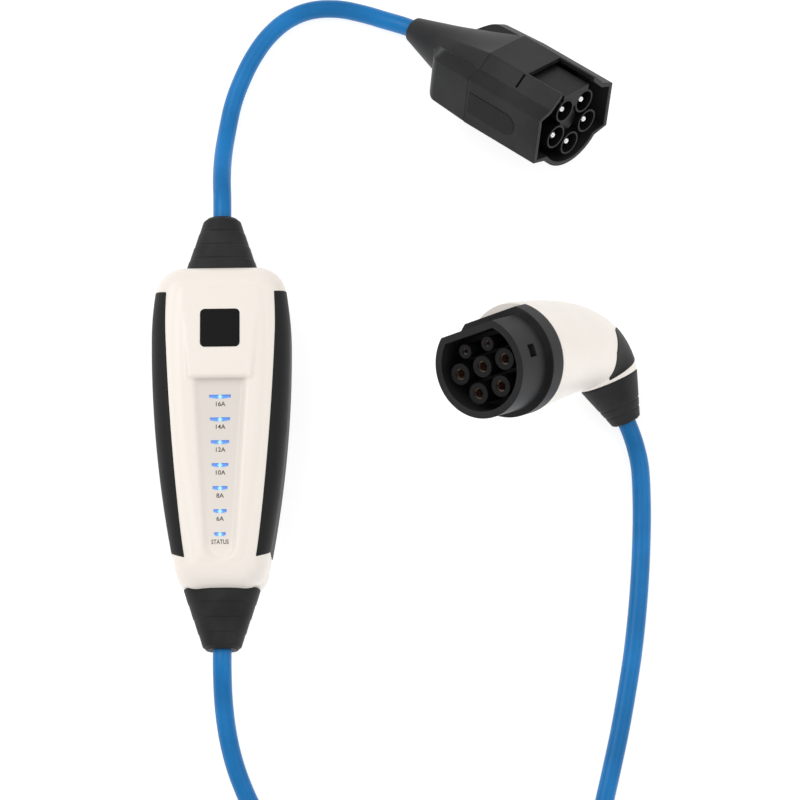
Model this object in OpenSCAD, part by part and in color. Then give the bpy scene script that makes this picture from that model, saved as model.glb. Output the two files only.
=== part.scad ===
// Portable charger for electric cars: an in-cable control box, a five-pin supply plug on a short lead,
// and a seven-contact vehicle connector on a five metre charging lead.
// The box lies on its back. +X is to its right, +Y towards the supply end, +Z out of its front.

/* [Control box] */
// Length of the housing without its boots
box_length = 212; // [200:1:230]
// Width of the housing at its widest
box_width = 89; // [84:1:98]
// Width that the sides run out to at the supply end
top_width = 78; // [70:1:82]
// Width that the sides run out to at the outlet end
bottom_width = 53; // [50:1:60]
// Distance of the widest place from the middle
widest_y = 58; // [45:1:65]
// Corner radius at the supply end, seen from the front
top_corner = 19; // [15:1:22]
// Corner radius at the outlet end, seen from the front
bottom_corner = 16; // [12:1:18]
// Height of the housing from its back to the edge of the front face
box_height = 57; // [54:1:64]
// Height of the joint between the two half shells
parting_z = 29; // [26:1:31]
// Wall of the two half shells
wall = 4; // [3.6:0.1:4.6]
// How far the front edge rounds in
front_round = 15; // [12:1:17]
// How far the back edge rounds in
rear_round = 12; // [9:1:14]
// Rise of the front face towards its middle
crown = 1; // [0.5:0.1:1.6]

/* [Front panel] */
// Width of the raised panel at its foot
panel_width = 38; // [34:1:42]
// Extra width of the raised panel at its head
panel_flare = 8; // [4:1:10]
// Distance of the panel's foot, where the light channel starts, from the supply end
panel_drop = 77; // [73:1:81]
// Length of the raised panel
panel_length = 54; // [48:1:60]
// Rise of the panel above the front face at its foot
panel_rise = 1.8; // [1:0.1:2.4]
// Width of the light channel's floor at its head
channel_width = 27; // [24:1:30]
// Width of the light channel's floor at its end
channel_end_width = 13; // [11:1:15]
// Length of the light channel
channel_length = 115; // [111:1:118]
// Depth of the light channel below the middle of the front face
channel_depth = 2.4; // [1.6:0.1:2.8]
// How far the channel's sides slope out
channel_slope = 5.5; // [3:0.5:7]
// Side of the square badge plate
badge_size = 25.5; // [22:0.5:28]
// Thickness of the badge plate
badge_thickness = 1.6; // [1.2:0.1:2]
// Corner radius of the badge plate
badge_corner = 3; // [1:0.5:5]
// Distance of the badge plate's middle above the panel's foot
badge_rise_y = 33; // [30:1:36]

/* [Light bars] */
// Number of light bars
bar_count = 7; // [5:1:7]
// Distance from one bar to the next
bar_pitch = 15; // [14.5:0.1:15.4]
// Place of the first bar below the panel's foot
bar_start = 12; // [10:0.5:13]
// Width of the first bar
bar_width = 13.8; // [12:0.2:15]
// Loss of width from one bar to the next
bar_step = 1.1; // [0.8:0.05:1.2]
// Height of a bar on the front
bar_height = 2.5; // [2:0.1:3]
// How far a bar stands out of the channel's floor
bar_proud = 0.3; // [0.1:0.05:0.5]

/* [Side grips] */
// Length of the soft grips
grip_length = 174; // [160:1:178]
// Middle of the grips along the box
grip_mid_y = 4; // [0:1:8]
// How far the grips reach over the front edge at the middle
grip_band = 11; // [8:0.5:12]
// Thickness of the grips
grip_depth = 2; // [1.6:0.1:2.2]
// How far the grips stand proud of the shells
grip_proud = 0.2; // [0.1:0.05:0.4]

/* [Cable boots] */
// Length of a boot outside the housing
boot_length = 37; // [32:1:44]
// Width of a boot at the housing
boot_width = 49; // [46:1:52]
// Height of a boot at the housing
boot_height = 34; // [30:1:36]
// Width and height of a boot at its end
boot_end = 23; // [20:1:26]
// Number of steps along a boot
boot_steps = 4; // [3:1:5]
// Depth of each step
boot_step = 0.9; // [0.5:0.1:1.2]

/* [Electronics] */
// Width of the main circuit board
board_width = 51; // [48:1:51]
// Length of the main circuit board
board_length = 150; // [140:1:154]
// Thickness of the circuit boards
board_thickness = 1.6; // [1:0.1:2]
// Height of the main board's underside
board_z = 14; // [12:0.5:16]
// Number of switching relays, one for each pole
relay_count = 4; // [3:1:4]
// Height of a relay
relay_height = 20; // [16:1:24]
// Width of a terminal block
terminal_width = 46; // [40:1:50]
// Outer radius of the fault current sensor ring
sensor_radius = 13; // [11:0.5:14]

/* [Supply plug] */
// Length of the plug's hood
hood_length = 62; // [56:1:68]
// Width of the hood over its side wings
hood_width = 72; // [68:1:76]
// Height of the side wings at their outer edge
wing_height = 33; // [30:1:36]
// Radius of the hood's round underside
hood_radius = 31; // [29.5:0.5:33]
// Wall of the hood
hood_wall = 3; // [2.5:0.1:3.5]
// Length of the rear cover, from the hood to the cable
cover_length = 82; // [76:1:90]
// Radius of the rear cover at the cable
cover_end_radius = 8.5; // [8:0.5:9.5]
// Radius of the circle that the pins stand on
pin_circle = 15.9; // [15.2:0.1:16.4]
// Outer radius of the insulating sleeve round each pin
sleeve_radius = 8.2; // [7.6:0.1:8.6]
// Wall of the insulating sleeves
sleeve_wall = 1.2; // [0.9:0.1:1.6]
// Radius of the pins
pin_radius = 2.5; // [2:0.1:3]
// Depth of the pin tips inside the sleeves
pin_sink = 5; // [3:0.5:8]
// Depth of the notch in the hood's top
notch_depth = 30; // [26:1:34]

/* [Vehicle connector] */
// Outer radius of the nose
nose_radius = 32; // [31:0.5:34]
// Height of the nose's flat top above its axis
nose_flat = 25; // [24:0.5:27]
// Wall of the nose
nose_wall = 4.4; // [3.8:0.1:5]
// Length of the nose in front of its collar
nose_length = 30; // [26:1:36]
// Radius of the collar behind the nose
collar_radius = 36; // [34.5:0.5:37]
// Height of the collar's flat top above that of the nose
collar_step = 5; // [3:0.5:6]
// Length of the collar
collar_length = 12; // [9:0.5:16]
// Distance of the nose's face from the bend of the handle
reach = 136; // [130:1:142]
// Angle between the nose's back and the handle
bend = 80; // [74:1:86]
// Distance between neighbouring power contacts
contact_pitch = 17.4; // [16.8:0.1:18]
// Height of the pilot contacts above the nose's axis
pilot_rise = 12.4; // [11.8:0.1:13]
// Radius of the opening in a power contact
power_bore = 3.05; // [2.8:0.05:3.3]
// Radius of the opening in a pilot contact
pilot_bore = 1.55; // [1.3:0.05:1.8]
// Outer radius of the sleeve round a power contact
power_sleeve = 6.7; // [6.2:0.1:7.1]
// Outer radius of the sleeve round a pilot contact
pilot_sleeve = 4.4; // [4:0.1:4.8]
// Length of the handle from the bend to its boot
handle_length = 30; // [27:1:34]
// Length of the handle's boot
handle_boot = 30; // [26:1:34]
// Radius of the handle at its boot
handle_radius = 20; // [19:0.5:21]
// Radius of the handle's boot at the cable
handle_end = 9.5; // [9:0.5:10.5]
// Thickness of the pads on the handle
pad_depth = 1.8; // [1.4:0.1:2.2]

/* [Cable] */
// Diameter of the cable
cable_d = 12; // [10:0.5:13]
// Diameter of the coil at the middle of its turns
coil_d = 144; // [130:1:160]
// Width of the coil's bundle of turns
bundle_width = 60; // [54:1:66]
// Height of the coil's bundle of turns
bundle_height = 24; // [20:1:28]
// Width of the tie round the coil
tie_width = 20; // [12:1:26]
// Thickness of the tie
tie_thickness = 1.6; // [1:0.1:2]

/* [Fits] */
// Clearance round pieces set into a pocket
fit = 0.15; // [0.1:0.05:0.3]
// Clearance where pieces seat on each other
seat = 0.1; // [0.05:0.05:0.2]

/* [Hidden] */
$fn = 64;
ivory = "#f3ebdf";
black = "#2b2b2d";
soft_black = "#38383a";
blue = "#2a70bd";
board_green = "#2f6b4a";
brass = "#c08a5a";
steel = "#c9ccd0";
light_blue = "#6fb6ff";

end_y = box_length / 2;
boot_tip_y = end_y + boot_length;
cord_z = parting_z;
edge_z = box_height - front_round;
face_z = box_height + crown;
floor_z = face_z - channel_depth;
ceiling_z = box_height - wall;
crown_inset = 20;
corner_min = 3;
panel_foot_y = end_y - panel_drop;
panel_edge = 1;
panel_draft = 0.6;
panel_spread = 2.5;
panel_root = 3;
channel_mid_out = 0.35;
channel_mid_up = 0.45;
channel_head = 0.2;
cut_over = 3;
grip_taper = 3;
grip_back_share = 0.6;
rear_edge_z = 16;
lens_z = floor_z + bar_proud;
light_board_drop = 4;
light_board_z = ceiling_z - light_board_drop;
light_top = light_board_z + board_thickness;
light_board_width = 18;
light_board_margin = 6;
light_post_x = 6;
light_post_r = 1.8;
light_post_sink = 1.3;
boss_places = [[32, 81], [31, 12], [20.5, -84]];
boss_r = 4;
boss_fn = 20;
boss_flare = 1;
boss_foot = 2;
gusset_t = 1.6;
gusset_drop = 8;
screw_r = 1.6;
screw_head_r = 3;
screw_head_h = 2.4;
screw_sink = 3;
screw_reach = 10;
board_top = board_z + board_thickness;
mount_z = board_top + seat / 2;
flange_t = 2.8;
neck_half_w = 11;
neck_half_h = 9.5;
neck_corner = 4;
flange_rim = 3;
clamp_r = 9;
clamp_length = 16;
clamp_foot = 0.5;
clamp_width = 28;
clamp_t = 6;
clamp_rim = 3;
post_r = 2.6;
post_place = [board_width / 2 - 5, board_length / 2 - 6];
relay_length = 30;
relay_gap = 1.4;
relay_y = -8;
sensor_y = 36;
sensor_ring = 4;
sensor_foot = [18, 8, 4];
terminal_size = [12, 14];
terminal_inset = 12;
terminal_poles = 5;
terminal_hole = 2.4;
terminal_floor = 5;
transformer_size = [32, 22, 18];
transformer_y = -41;
badge_proud = 0.5;
tip_round = 1.5;
tip_length = 2;

// Supply route, from the box's boot to the plug's tail
supply_route = [
    [0, 143, 29], [0, 157, 28], [-1, 175, 20], [0, 194, 12], [2.5, 212, 7.5], [6, 229, 6], [11.5, 246, 6],
    [19, 263, 6], [29, 278, 6], [42, 290, 6], [58, 297, 6], [76, 298, 6], [93, 294.5, 6], [107, 290, 6.2],
    [118, 286, 7.6]
];
// Outlet route, from the box's lower boot to the coil
outlet_route = [
    [0, -143, 29], [0, -157, 28], [0.5, -175, 20], [2.5, -193, 12], [6.5, -211, 7.5], [12.5, -228, 6],
    [20, -246, 6], [27, -266, 6], [32, -288, 6], [35, -312, 6.8], [39, -342, 8]
];
// Connector route, back from the handle's boot to the coil
connector_route = [
    [265, -2, 6.5], [267.5, -20, 6], [269, -42, 6], [269, -66, 6], [268, -92, 6], [266, -118, 6],
    [263, -144, 6], [258.5, -170, 6], [253, -196, 6], [246.5, -222, 6], [240, -248, 6], [235.5, -276, 6.2],
    [231.5, -308, 7], [224, -345, 8]
];
coil_place = [131, -356, bundle_height / 2 + tie_thickness + 2 * seat];
plug_tail = [128, 281];
plug_azimuth = -40;
plug_roll = -32;
tail_rise = 4.8;
elbow_place = [240, 60];
handle_azimuth = -66;
handle_roll = 41;

// Points and vectors
function lerp(a, b, t) = a + (b - a) * t;
function unit(v) = v / norm(v);
function joined(lists) = [for (one = lists) each one];

// A closed solid through rings that all have the same number of points
module loft(rings) {
    n = len(rings[0]);
    last = len(rings) - 1;
    sides = [
        for (i = [0 : last - 1], j = [0 : n - 1])
            let (a = i * n + j, b = i * n + (j + 1) % n)
                each [[a, a + n, b + n], [a, b + n, b]]
    ];
    caps = [[for (j = [0 : n - 1]) j], [for (j = [n - 1 : -1 : 0]) last * n + j]];
    polyhedron(joined(rings), concat(sides, caps), convexity = 8);
}

// A closed slab between two grids of points, the first one on its outer side
module slab(outer, inner) {
    rows = len(outer);
    cols = len(outer[0]);
    far = rows * cols;
    function at(i, j) = i * cols + j;
    function quad(a, b, c, d) = [[a, b, c], [a, c, d]];
    skins = [
        for (i = [0 : rows - 2], j = [0 : cols - 2])
            let (a = at(i, j), b = at(i, j + 1), c = at(i + 1, j + 1), d = at(i + 1, j))
                each concat(quad(a, b, c, d), quad(a + far, d + far, c + far, b + far))
    ];
    long_edges = [
        for (i = [0 : rows - 2])
            let (a = at(i, 0), b = at(i + 1, 0), c = at(i, cols - 1), d = at(i + 1, cols - 1))
                each concat(quad(a, b, b + far, a + far), quad(d, c, c + far, d + far))
    ];
    short_edges = [
        for (j = [0 : cols - 2])
            let (a = at(0, j), b = at(0, j + 1), c = at(rows - 1, j), d = at(rows - 1, j + 1))
                each concat(quad(b, a, a + far, b + far), quad(c, d, d + far, c + far))
    ];
    polyhedron(concat(joined(outer), joined(inner)), concat(skins, long_edges, short_edges), convexity = 8);
}

// A round tube along a route, square to the route at each point
module tube(route, r, first, last) {
    n = len(route) - 1;
    loft([
        for (i = [0 : n])
            let (
                t = i == 0 ? unit(first) : i == n ? unit(last) : unit(route[i + 1] - route[i - 1]),
                e1 = unit(cross([0, 0, 1], t)),
                e2 = cross(t, e1)
            )
                [for (k = [0 : 11]) route[i] + r * (cos(k * 30) * e1 + sin(k * 30) * e2)]
    ]);
}

// A profile in the plane across X, drawn out from x0 to x1
module along_x(x0, x1) {
    translate([x0, 0, 0]) rotate([90, 0, 90]) linear_extrude(x1 - x0) children();
}

// A profile in the plane across Y, drawn out from y0 to y1
module along_y(y0, y1) {
    translate([0, y1, 0]) rotate([90, 0, 0]) linear_extrude(y1 - y0) children();
}

// Plan of the control box, set in by d all round
function side_x(y) = y > widest_y
    ? box_width / 2 - (box_width - top_width) / 2 * pow((y - widest_y) / (end_y - widest_y), 2)
    : box_width / 2 - (box_width - bottom_width) / 2 * pow((widest_y - y) / (end_y + widest_y), 2);
function right_plan(d) =
    let (
        rb = max(bottom_corner - d, corner_min),
        rt = max(top_corner - d, corner_min),
        yb = rb + d - end_y,
        yt = end_y - d - rt,
        xb = side_x(yb) - d - rb,
        xt = side_x(yt) - d - rt
    )
        concat(
            [for (a = [-90 : 16 : -10]) [xb + rb * cos(a), yb + rb * sin(a)]],
            [for (i = [1 : 10]) let (y = lerp(yb, yt, i / 11)) [side_x(y) - d, y]],
            [for (a = [10 : 16 : 90]) [xt + rt * cos(a), yt + rt * sin(a)]]
        );
function plan(d) =
    let (right = right_plan(d))
        concat(right, [for (i = [len(right) - 1 : -1 : 0]) [-right[i][0], right[i][1]]]);
function plan_at(d, z) = [for (p = plan(d)) [p[0], p[1], z]];

// Rounded edges of the half shells as [inset, height], from the parting line outwards
function front_edge(d, top) = concat(
    [[d, parting_z]],
    [for (a = [0 : 15 : 90]) [d + front_round * (1 - cos(a)), lerp(edge_z, top, sin(a))]],
    [[d + crown_inset, top + crown]]
);
function rear_edge(d, low) = concat(
    [[d, parting_z]],
    [for (a = [0 : 15 : 90]) [d + rear_round * (1 - cos(a)), lerp(rear_edge_z, low, sin(a))]]
);
function rings_of(edge) = [for (e = edge) plan_at(e[0], e[1])];
function turned(list) = [for (i = [len(list) - 1 : -1 : 0]) list[i]];

// Side grips follow the shells' section, from the back edge over the side to the front edge
function grip_reach(y) = grip_band - grip_taper * pow((y - grip_mid_y) / (grip_length / 2), 2);
function grip_section(y, lift, grow) =
    let (
        reach_in = grip_reach(y) + grow,
        front = acos(1 - reach_in / front_round),
        back = acos(1 - grip_back_share * reach_in / rear_round)
    )
        concat(
            [
                for (i = [4 : -1 : 0])
                    let (a = back * i / 4)
                        [
                            side_x(y) - rear_round * (1 - cos(a)) + lift * cos(a), y,
                            lerp(rear_edge_z, 0, sin(a)) - lift * sin(a)
                        ]
            ],
            [
                for (i = [0 : 5])
                    let (a = front * i / 5)
                        [
                            side_x(y) - front_round * (1 - cos(a)) + lift * cos(a), y,
                            lerp(edge_z, box_height, sin(a)) + lift * sin(a)
                        ]
            ]
        );
module grip_solid(out, deep, grow) {
    stations = [for (i = [0 : 12]) grip_mid_y + (grip_length / 2 + grow) * (i / 6 - 1)];
    slab([for (y = stations) grip_section(y, out, grow)], [for (y = stations) grip_section(y, -deep, grow)]);
}
module both_sides() {
    children();
    mirror([1, 0, 0]) children();
}

// Bosses for the housing screws, with a gusset to the side wall
module at_bosses() {
    for (p = boss_places) both_sides() translate([p[0], p[1], 0]) children();
}
module boss(low, high, foot_z) {
    translate([0, 0, low]) cylinder(h = high - low, r = boss_r, $fn = boss_fn);
    hull() {
        translate([0, 0, foot_z]) cylinder(h = boss_flare, r = boss_r + boss_flare, $fn = boss_fn);
        translate([0, 0, lerp(foot_z, (low + high) / 2, 0.5)])
            cylinder(h = boss_flare, r = boss_r, $fn = boss_fn);
    }
}
module gusset(p, low, high) {
    hull() for (x = [p[0], side_x(p[1]) - wall])
        translate([x, p[1] - gusset_t / 2, low]) cube([gusset_t / 3, gusset_t, high - low]);
}
module gussets(low, high) {
    for (p = boss_places) both_sides() gusset(p, low, high);
}

// Cable boots: an oval section that steps down to the cable
function oval(hw, hh, y, e = 0.72) = [
    for (k = [0 : 31])
        let (c = cos(k * 11.25), s = sin(k * 11.25))
            [hw * sign(c) * pow(abs(c), e), y, cord_z - hh * sign(s) * pow(abs(s), e)]
];
module boot_neck(grow) {
    along_y(end_y - 2 * wall, end_y + wall) translate([0, cord_z]) offset(neck_corner + grow, $fn = 32)
        square(2 * [neck_half_w - neck_corner, neck_half_h - neck_corner], center = true);
}
function boot_half(full, t) = lerp(full, boot_end, t) / 2;
module boot() {
    nw = neck_half_w;
    nh = neck_half_h;
    back = end_y - wall - seat;
    inner = [
        oval(clamp_r, clamp_r, back - flange_t - clamp_length, 1), oval(clamp_r, clamp_r, back - flange_t, 1),
        oval(nw + flange_rim, nh + flange_rim, back - flange_t), oval(nw + flange_rim, nh + flange_rim, back),
        oval(nw, nh, back), oval(nw, nh, end_y + seat)
    ];
    outer = [
        for (i = [0 : boot_steps - 1])
            let (
                t0 = i / boot_steps, t1 = (i + 1) / boot_steps,
                y0 = lerp(end_y + seat, boot_tip_y, t0), y1 = lerp(end_y + seat, boot_tip_y, t1)
            )
                each [
                    oval(boot_half(boot_width, t0), boot_half(boot_height, t0), y0),
                    oval(
                        boot_half(boot_width, t1) + boot_step / 2, boot_half(boot_height, t1) + boot_step / 2,
                        y1 - (i == boot_steps - 1 ? tip_length : 0)
                    )
                ]
    ];
    tip = [oval(boot_end / 2 - tip_round, boot_end / 2 - tip_round, boot_tip_y, 1)];
    loft(concat(inner, outer, tip));
}

// Control box pieces
function bar_y(i) = panel_foot_y - bar_start - i * bar_pitch;
function bar_w(i) = bar_width - i * bar_step;
// A bar is a straight top edge over a shallow arc
module bar_profile(i, grow) {
    w = bar_w(i) / 2 + grow;
    h = bar_height / 2 + grow;
    r = (w * w + 4 * h * h) / (4 * h);
    polygon([for (k = [-6 : 6]) let (x = w * k / 6) [x, r - h - sqrt(r * r - x * x)]]);
}
module channel() {
    x1 = channel_width / 2;
    x2 = channel_end_width / 2;
    y2 = panel_foot_y - channel_length;
    function outline(g, z) = concat(
        [[-x1 - g, panel_foot_y + g * channel_head, z], [-x2 - g, y2 + x2, z]],
        [for (a = [200 : 20 : 340]) [(x2 + g) * cos(a), y2 + x2 + (x2 + g) * sin(a), z]],
        [[x2 + g, y2 + x2, z], [x1 + g, panel_foot_y + g * channel_head, z]]
    );
    loft([
        outline(0, floor_z),
        outline(channel_slope * channel_mid_out, floor_z + channel_depth * channel_mid_up),
        outline(channel_slope, face_z), outline(channel_slope + channel_head, face_z + cut_over)
    ]);
}
module raised_panel() {
    y2 = panel_foot_y + panel_length;
    w1 = panel_width / 2;
    w2 = w1 + panel_flare / 2;
    foot = [w1 + panel_spread, panel_foot_y];
    head = [w2 + panel_spread, y2 + 2 * panel_spread];
    hull() {
        translate([0, 0, box_height - panel_root]) linear_extrude(panel_edge)
            polygon([[-foot[0], foot[1]], foot, head, [-head[0], head[1]]]);
        for (x = [-1, 1]) {
            translate([x * w1 - panel_edge / 2, panel_foot_y + panel_draft, face_z - panel_edge])
                cube([panel_edge, panel_edge, panel_rise + panel_edge]);
            translate([x * w2 - panel_edge / 2, y2, face_z - panel_edge - panel_draft]) cube(panel_edge);
        }
    }
}
badge_y = panel_foot_y + badge_rise_y;
badge_lean = atan((panel_rise + panel_draft) / panel_length);
badge_z = face_z + panel_rise - tan(badge_lean) * badge_rise_y;
module badge_block(low, high, grow) {
    translate([0, badge_y, badge_z]) rotate([-badge_lean, 0, 0]) translate([0, 0, low])
        linear_extrude(high - low) offset(badge_corner + grow, $fn = 24)
            square(badge_size - 2 * badge_corner, center = true);
}
module front_shell() {
    inner = turned(front_edge(wall, ceiling_z));
    color(ivory) difference() {
        union() {
            loft(rings_of(concat(inner, front_edge(0, box_height))));
            raised_panel();
            at_bosses() boss(parting_z + seat, ceiling_z, ceiling_z - boss_foot);
            gussets(parting_z + gusset_drop, ceiling_z);
            for (y = [bar_y(0.5), bar_y(4.5)]) both_sides() translate([light_post_x, y, light_top + seat])
                cylinder(h = ceiling_z - light_top + light_post_sink, r = light_post_r, $fn = boss_fn);
        }
        channel();
        for (i = [0 : bar_count - 1])
            translate([0, bar_y(i), ceiling_z - cut_over]) linear_extrude(wall + 2 * cut_over)
                bar_profile(i, fit);
        badge_block(badge_proud - badge_thickness - seat, cut_over, fit);
        both_sides() grip_solid(cut_over, grip_depth + fit, fit);
        boot_neck(fit);
        mirror([0, 1, 0]) boot_neck(fit);
        at_bosses() translate([0, 0, parting_z - seat])
            cylinder(h = screw_reach + 1 + seat, r = screw_r + seat, $fn = boss_fn);
    }
}
module rear_shell() {
    inner = turned(rear_edge(wall, wall));
    color(ivory) difference() {
        union() {
            loft(concat(turned(rings_of(rear_edge(0, 0))), turned(rings_of(inner))));
            at_bosses() boss(wall - 1, parting_z, wall);
            gussets(wall - 1, parting_z - gusset_drop);
            for (x = [-1, 1], y = [-1, 1]) translate([x * post_place[0], y * post_place[1], wall - 1])
                cylinder(h = board_z - seat - wall + 1, r = post_r, $fn = boss_fn);
        }
        both_sides() grip_solid(cut_over, grip_depth + fit, fit);
        boot_neck(fit);
        mirror([0, 1, 0]) boot_neck(fit);
        at_bosses() {
            translate([0, 0, -1]) cylinder(h = parting_z + 2, r = screw_r + fit, $fn = boss_fn);
            translate([0, 0, -1])
                cylinder(h = screw_sink + screw_head_h + 1, r = screw_head_r + fit, $fn = boss_fn);
        }
        seal_ring(seat);
    }
}
seal_out = 2.9;
seal_drop = 1.4;
module seal_ring(grow) {
    translate([0, 0, parting_z - seal_drop - grow]) linear_extrude(seal_drop + 2 * grow) difference() {
        polygon(plan(seal_out - grow));
        polygon(plan(wall + grow));
        square([boot_width + 4, 2 * box_length], center = true);
    }
}
module housing_seal() {
    color(soft_black) seal_ring(0);
}
module housing_screws() {
    color(steel) at_bosses() {
        translate([0, 0, screw_sink]) cylinder(h = screw_head_h, r = screw_head_r, $fn = boss_fn);
        translate([0, 0, screw_sink])
            cylinder(h = parting_z + screw_reach - screw_sink, r = screw_r, $fn = boss_fn);
    }
}
module right_grip() {
    color(black) grip_solid(grip_proud, grip_depth, 0);
}
module left_grip() {
    mirror([1, 0, 0]) right_grip();
}
module supply_boot() {
    color(soft_black) boot();
}
module outlet_boot() {
    color(soft_black) mirror([0, 1, 0]) boot();
}
module badge() {
    color(black) badge_block(badge_proud - badge_thickness, badge_proud, 0);
}
module light_bar(i) {
    low = light_top + 2 * seat;
    color(light_blue) translate([0, bar_y(i), low]) linear_extrude(lens_z - low) bar_profile(i, 0);
}
module light_board() {
    low_y = bar_y(bar_count - 1) - light_board_margin;
    high_y = bar_y(0) + light_board_margin;
    color(board_green) translate([-light_board_width / 2, low_y, light_board_z])
        cube([light_board_width, high_y - low_y, board_thickness]);
}
module main_board() {
    color(board_green) translate([-board_width / 2, -board_length / 2, board_z])
        cube([board_width, board_length, board_thickness]);
}
module relay(i) {
    pitch = board_width / relay_count;
    color("#303236")
        translate([(i - relay_count / 2) * pitch + relay_gap, relay_y - relay_length / 2, mount_z])
            cube([pitch - 2 * relay_gap, relay_length, relay_height]);
}
module current_sensor() {
    color("#3b4a66") translate([0, sensor_y, mount_z]) {
        translate([0, 0, sensor_radius + sensor_foot[2] / 2]) rotate([90, 0, 0]) rotate_extrude($fn = 40)
            translate([sensor_radius - sensor_ring, 0]) circle(sensor_ring, $fn = 20);
        translate([-sensor_foot[0] / 2, -sensor_foot[1] / 2, 0]) cube(sensor_foot);
    }
}
module terminals(y) {
    pitch = terminal_width / terminal_poles;
    color("#4d5358") difference() {
        translate([-terminal_width / 2, y - terminal_size[0] / 2, mount_z])
            cube([terminal_width, terminal_size[0], terminal_size[1]]);
        for (i = [0 : terminal_poles - 1])
            translate([(i - (terminal_poles - 1) / 2) * pitch, y, board_top + terminal_floor])
                cylinder(h = terminal_size[1], r = terminal_hole, $fn = 24);
    }
}
module supply_terminals() {
    terminals(board_length / 2 - terminal_inset);
}
module outlet_terminals() {
    terminals(terminal_inset - board_length / 2);
}
module control_transformer() {
    color("#c9a33c") translate([-transformer_size[0] / 2, transformer_y - transformer_size[1] / 2, mount_z])
        cube(transformer_size);
}
module clamp() {
    y = end_y - wall - flange_t - clamp_length / 2 - 1;
    low = wall + clamp_foot;
    color("#5a5d61") difference() {
        translate([-clamp_width / 2, y - clamp_t / 2, low])
            cube([clamp_width, clamp_t, cord_z + clamp_r + clamp_rim - low]);
        translate([0, y, cord_z]) rotate([90, 0, 0])
            cylinder(h = clamp_width, r = clamp_r + fit, center = true);
    }
}
module supply_clamp() {
    clamp();
}
module outlet_clamp() {
    mirror([0, 1, 0]) clamp();
}

// Supply plug. In its own frame X runs out of its face, Z to its notched top.
// It lies on the rear corner of a wing, with the cable under its tail.
plateau_half = 17;
plateau_z = 29;
shoulder_y = 26;
shoulder_z = 20.5;
keel = [23, 19.5];
under_rise = 5;
wing_end = 0.4;
wing_gone = 0.62;
wing_fall = 0.12;
wing_rest = 0.42;
core_round = 1.6;
wing_corner = [hood_width / 2, wing_height / 2];
wing_low = (1 - wing_fall * wing_end) * (wing_corner[0] * sin(-plug_roll) + wing_corner[1] * cos(plug_roll));
wing_span = cover_length * (1 - wing_end);
tail_z = cable_d / 2 + tail_rise;
plug_lean = acos(tail_z / norm([wing_low, wing_span])) - atan(wing_span / wing_low);
plug_back = [plug_tail[0], plug_tail[1], tail_z + seat];
plug_dir = [cos(plug_lean) * cos(plug_azimuth), cos(plug_lean) * sin(plug_azimuth), sin(plug_lean)];
plug_length = hood_length + cover_length;
module place_plug() {
    translate(plug_back) rotate([0, 0, plug_azimuth]) rotate([0, -plug_lean, 0]) rotate([plug_roll, 0, 0])
        translate([plug_length, 0, 0]) children();
}
module hood_outline(inset) {
    w = wing_corner[0] - inset;
    h = wing_corner[1] - inset / 2;
    right = [
        [keel[0], inset - keel[1]], [w, -h], [w, h], [shoulder_y - inset / 3, shoulder_z - inset],
        [plateau_half - inset / 2, plateau_z - inset]
    ];
    polygon(concat(right, [for (p = turned(right)) [-p[0], p[1]]]));
    intersection() {
        circle(hood_radius - inset);
        translate([-hood_radius, -hood_radius]) square([2 * hood_radius, hood_radius + under_rise]);
    }
}
pad_length = 40;
pad_height = 15;
pad_inlay = 1.2;
pad_proud = 0.2;
pad_start = 2;
module wing_pad(grow) {
    r = pad_height / 2 + grow;
    translate([pad_start - hood_length - grow, wing_corner[0] - pad_inlay - grow, 0]) rotate([-90, 0, 0])
        linear_extrude(pad_inlay + grow + pad_proud) union() {
            translate([0, -r]) square([pad_length - pad_height / 2, 2 * r]);
            translate([pad_length - pad_height / 2, 0]) circle(r, $fn = 40);
        }
}
hood_back = 8;
flange_x = -hood_length + hood_back;
notch_margin = 1.5;
notch_sink = 3;
slot_size = [1.6, 10, 8];
slot_gap = 2;
slot_place = [21, 25];
slot_turn = 44;
module plug_hood() {
    notch_half = plateau_half - notch_margin;
    color(soft_black) place_plug() difference() {
        along_x(-hood_length, 0) hood_outline(0);
        along_x(flange_x, 1) hood_outline(hood_wall);
        translate([-notch_depth, -notch_half, shoulder_z - notch_sink])
            cube([notch_depth + 1, 2 * notch_half, plateau_z]);
        for (s = [-1, 1]) translate([-notch_depth - slot_gap, s * slot_place[0], slot_place[1]])
            rotate([-s * slot_turn, 0, 0]) translate([0, -slot_size[1] / 2, -slot_size[2] / 2])
                cube(slot_size);
        wing_pad(fit);
        mirror([0, 1, 0]) wing_pad(fit);
    }
}
module plug_left_pad() {
    color(black) place_plug() mirror([0, 1, 0]) wing_pad(0);
}
module plug_right_pad() {
    color(black) place_plug() wing_pad(0);
}
pin_count = 5;
function pin_at(i) = let (a = (i + 0.5) * 360 / pin_count) [pin_circle * sin(a), pin_circle * cos(a)];
insert_back = 5;
sleeve_back = flange_x + insert_back;
sleeve_front = -1;
insert_gap = 2;
core_sink = 4;
key_half = 12;
key_top = 25;
module plug_insert() {
    key_low = pin_at(0)[1];
    color(black) place_plug() {
        along_x(flange_x + seat, sleeve_back) circle(hood_radius - hood_wall - insert_gap);
        along_x(sleeve_back - 1, sleeve_front - core_sink) circle(pin_circle - sleeve_radius - fit, $fn = 32);
        along_x(sleeve_back - 1, sleeve_front) difference() {
            translate([-key_half, key_low]) square([2 * key_half, key_top - key_low]);
            for (i = [0, pin_count - 1]) translate(pin_at(i)) circle(sleeve_radius + fit, $fn = 40);
        }
    }
}
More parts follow.
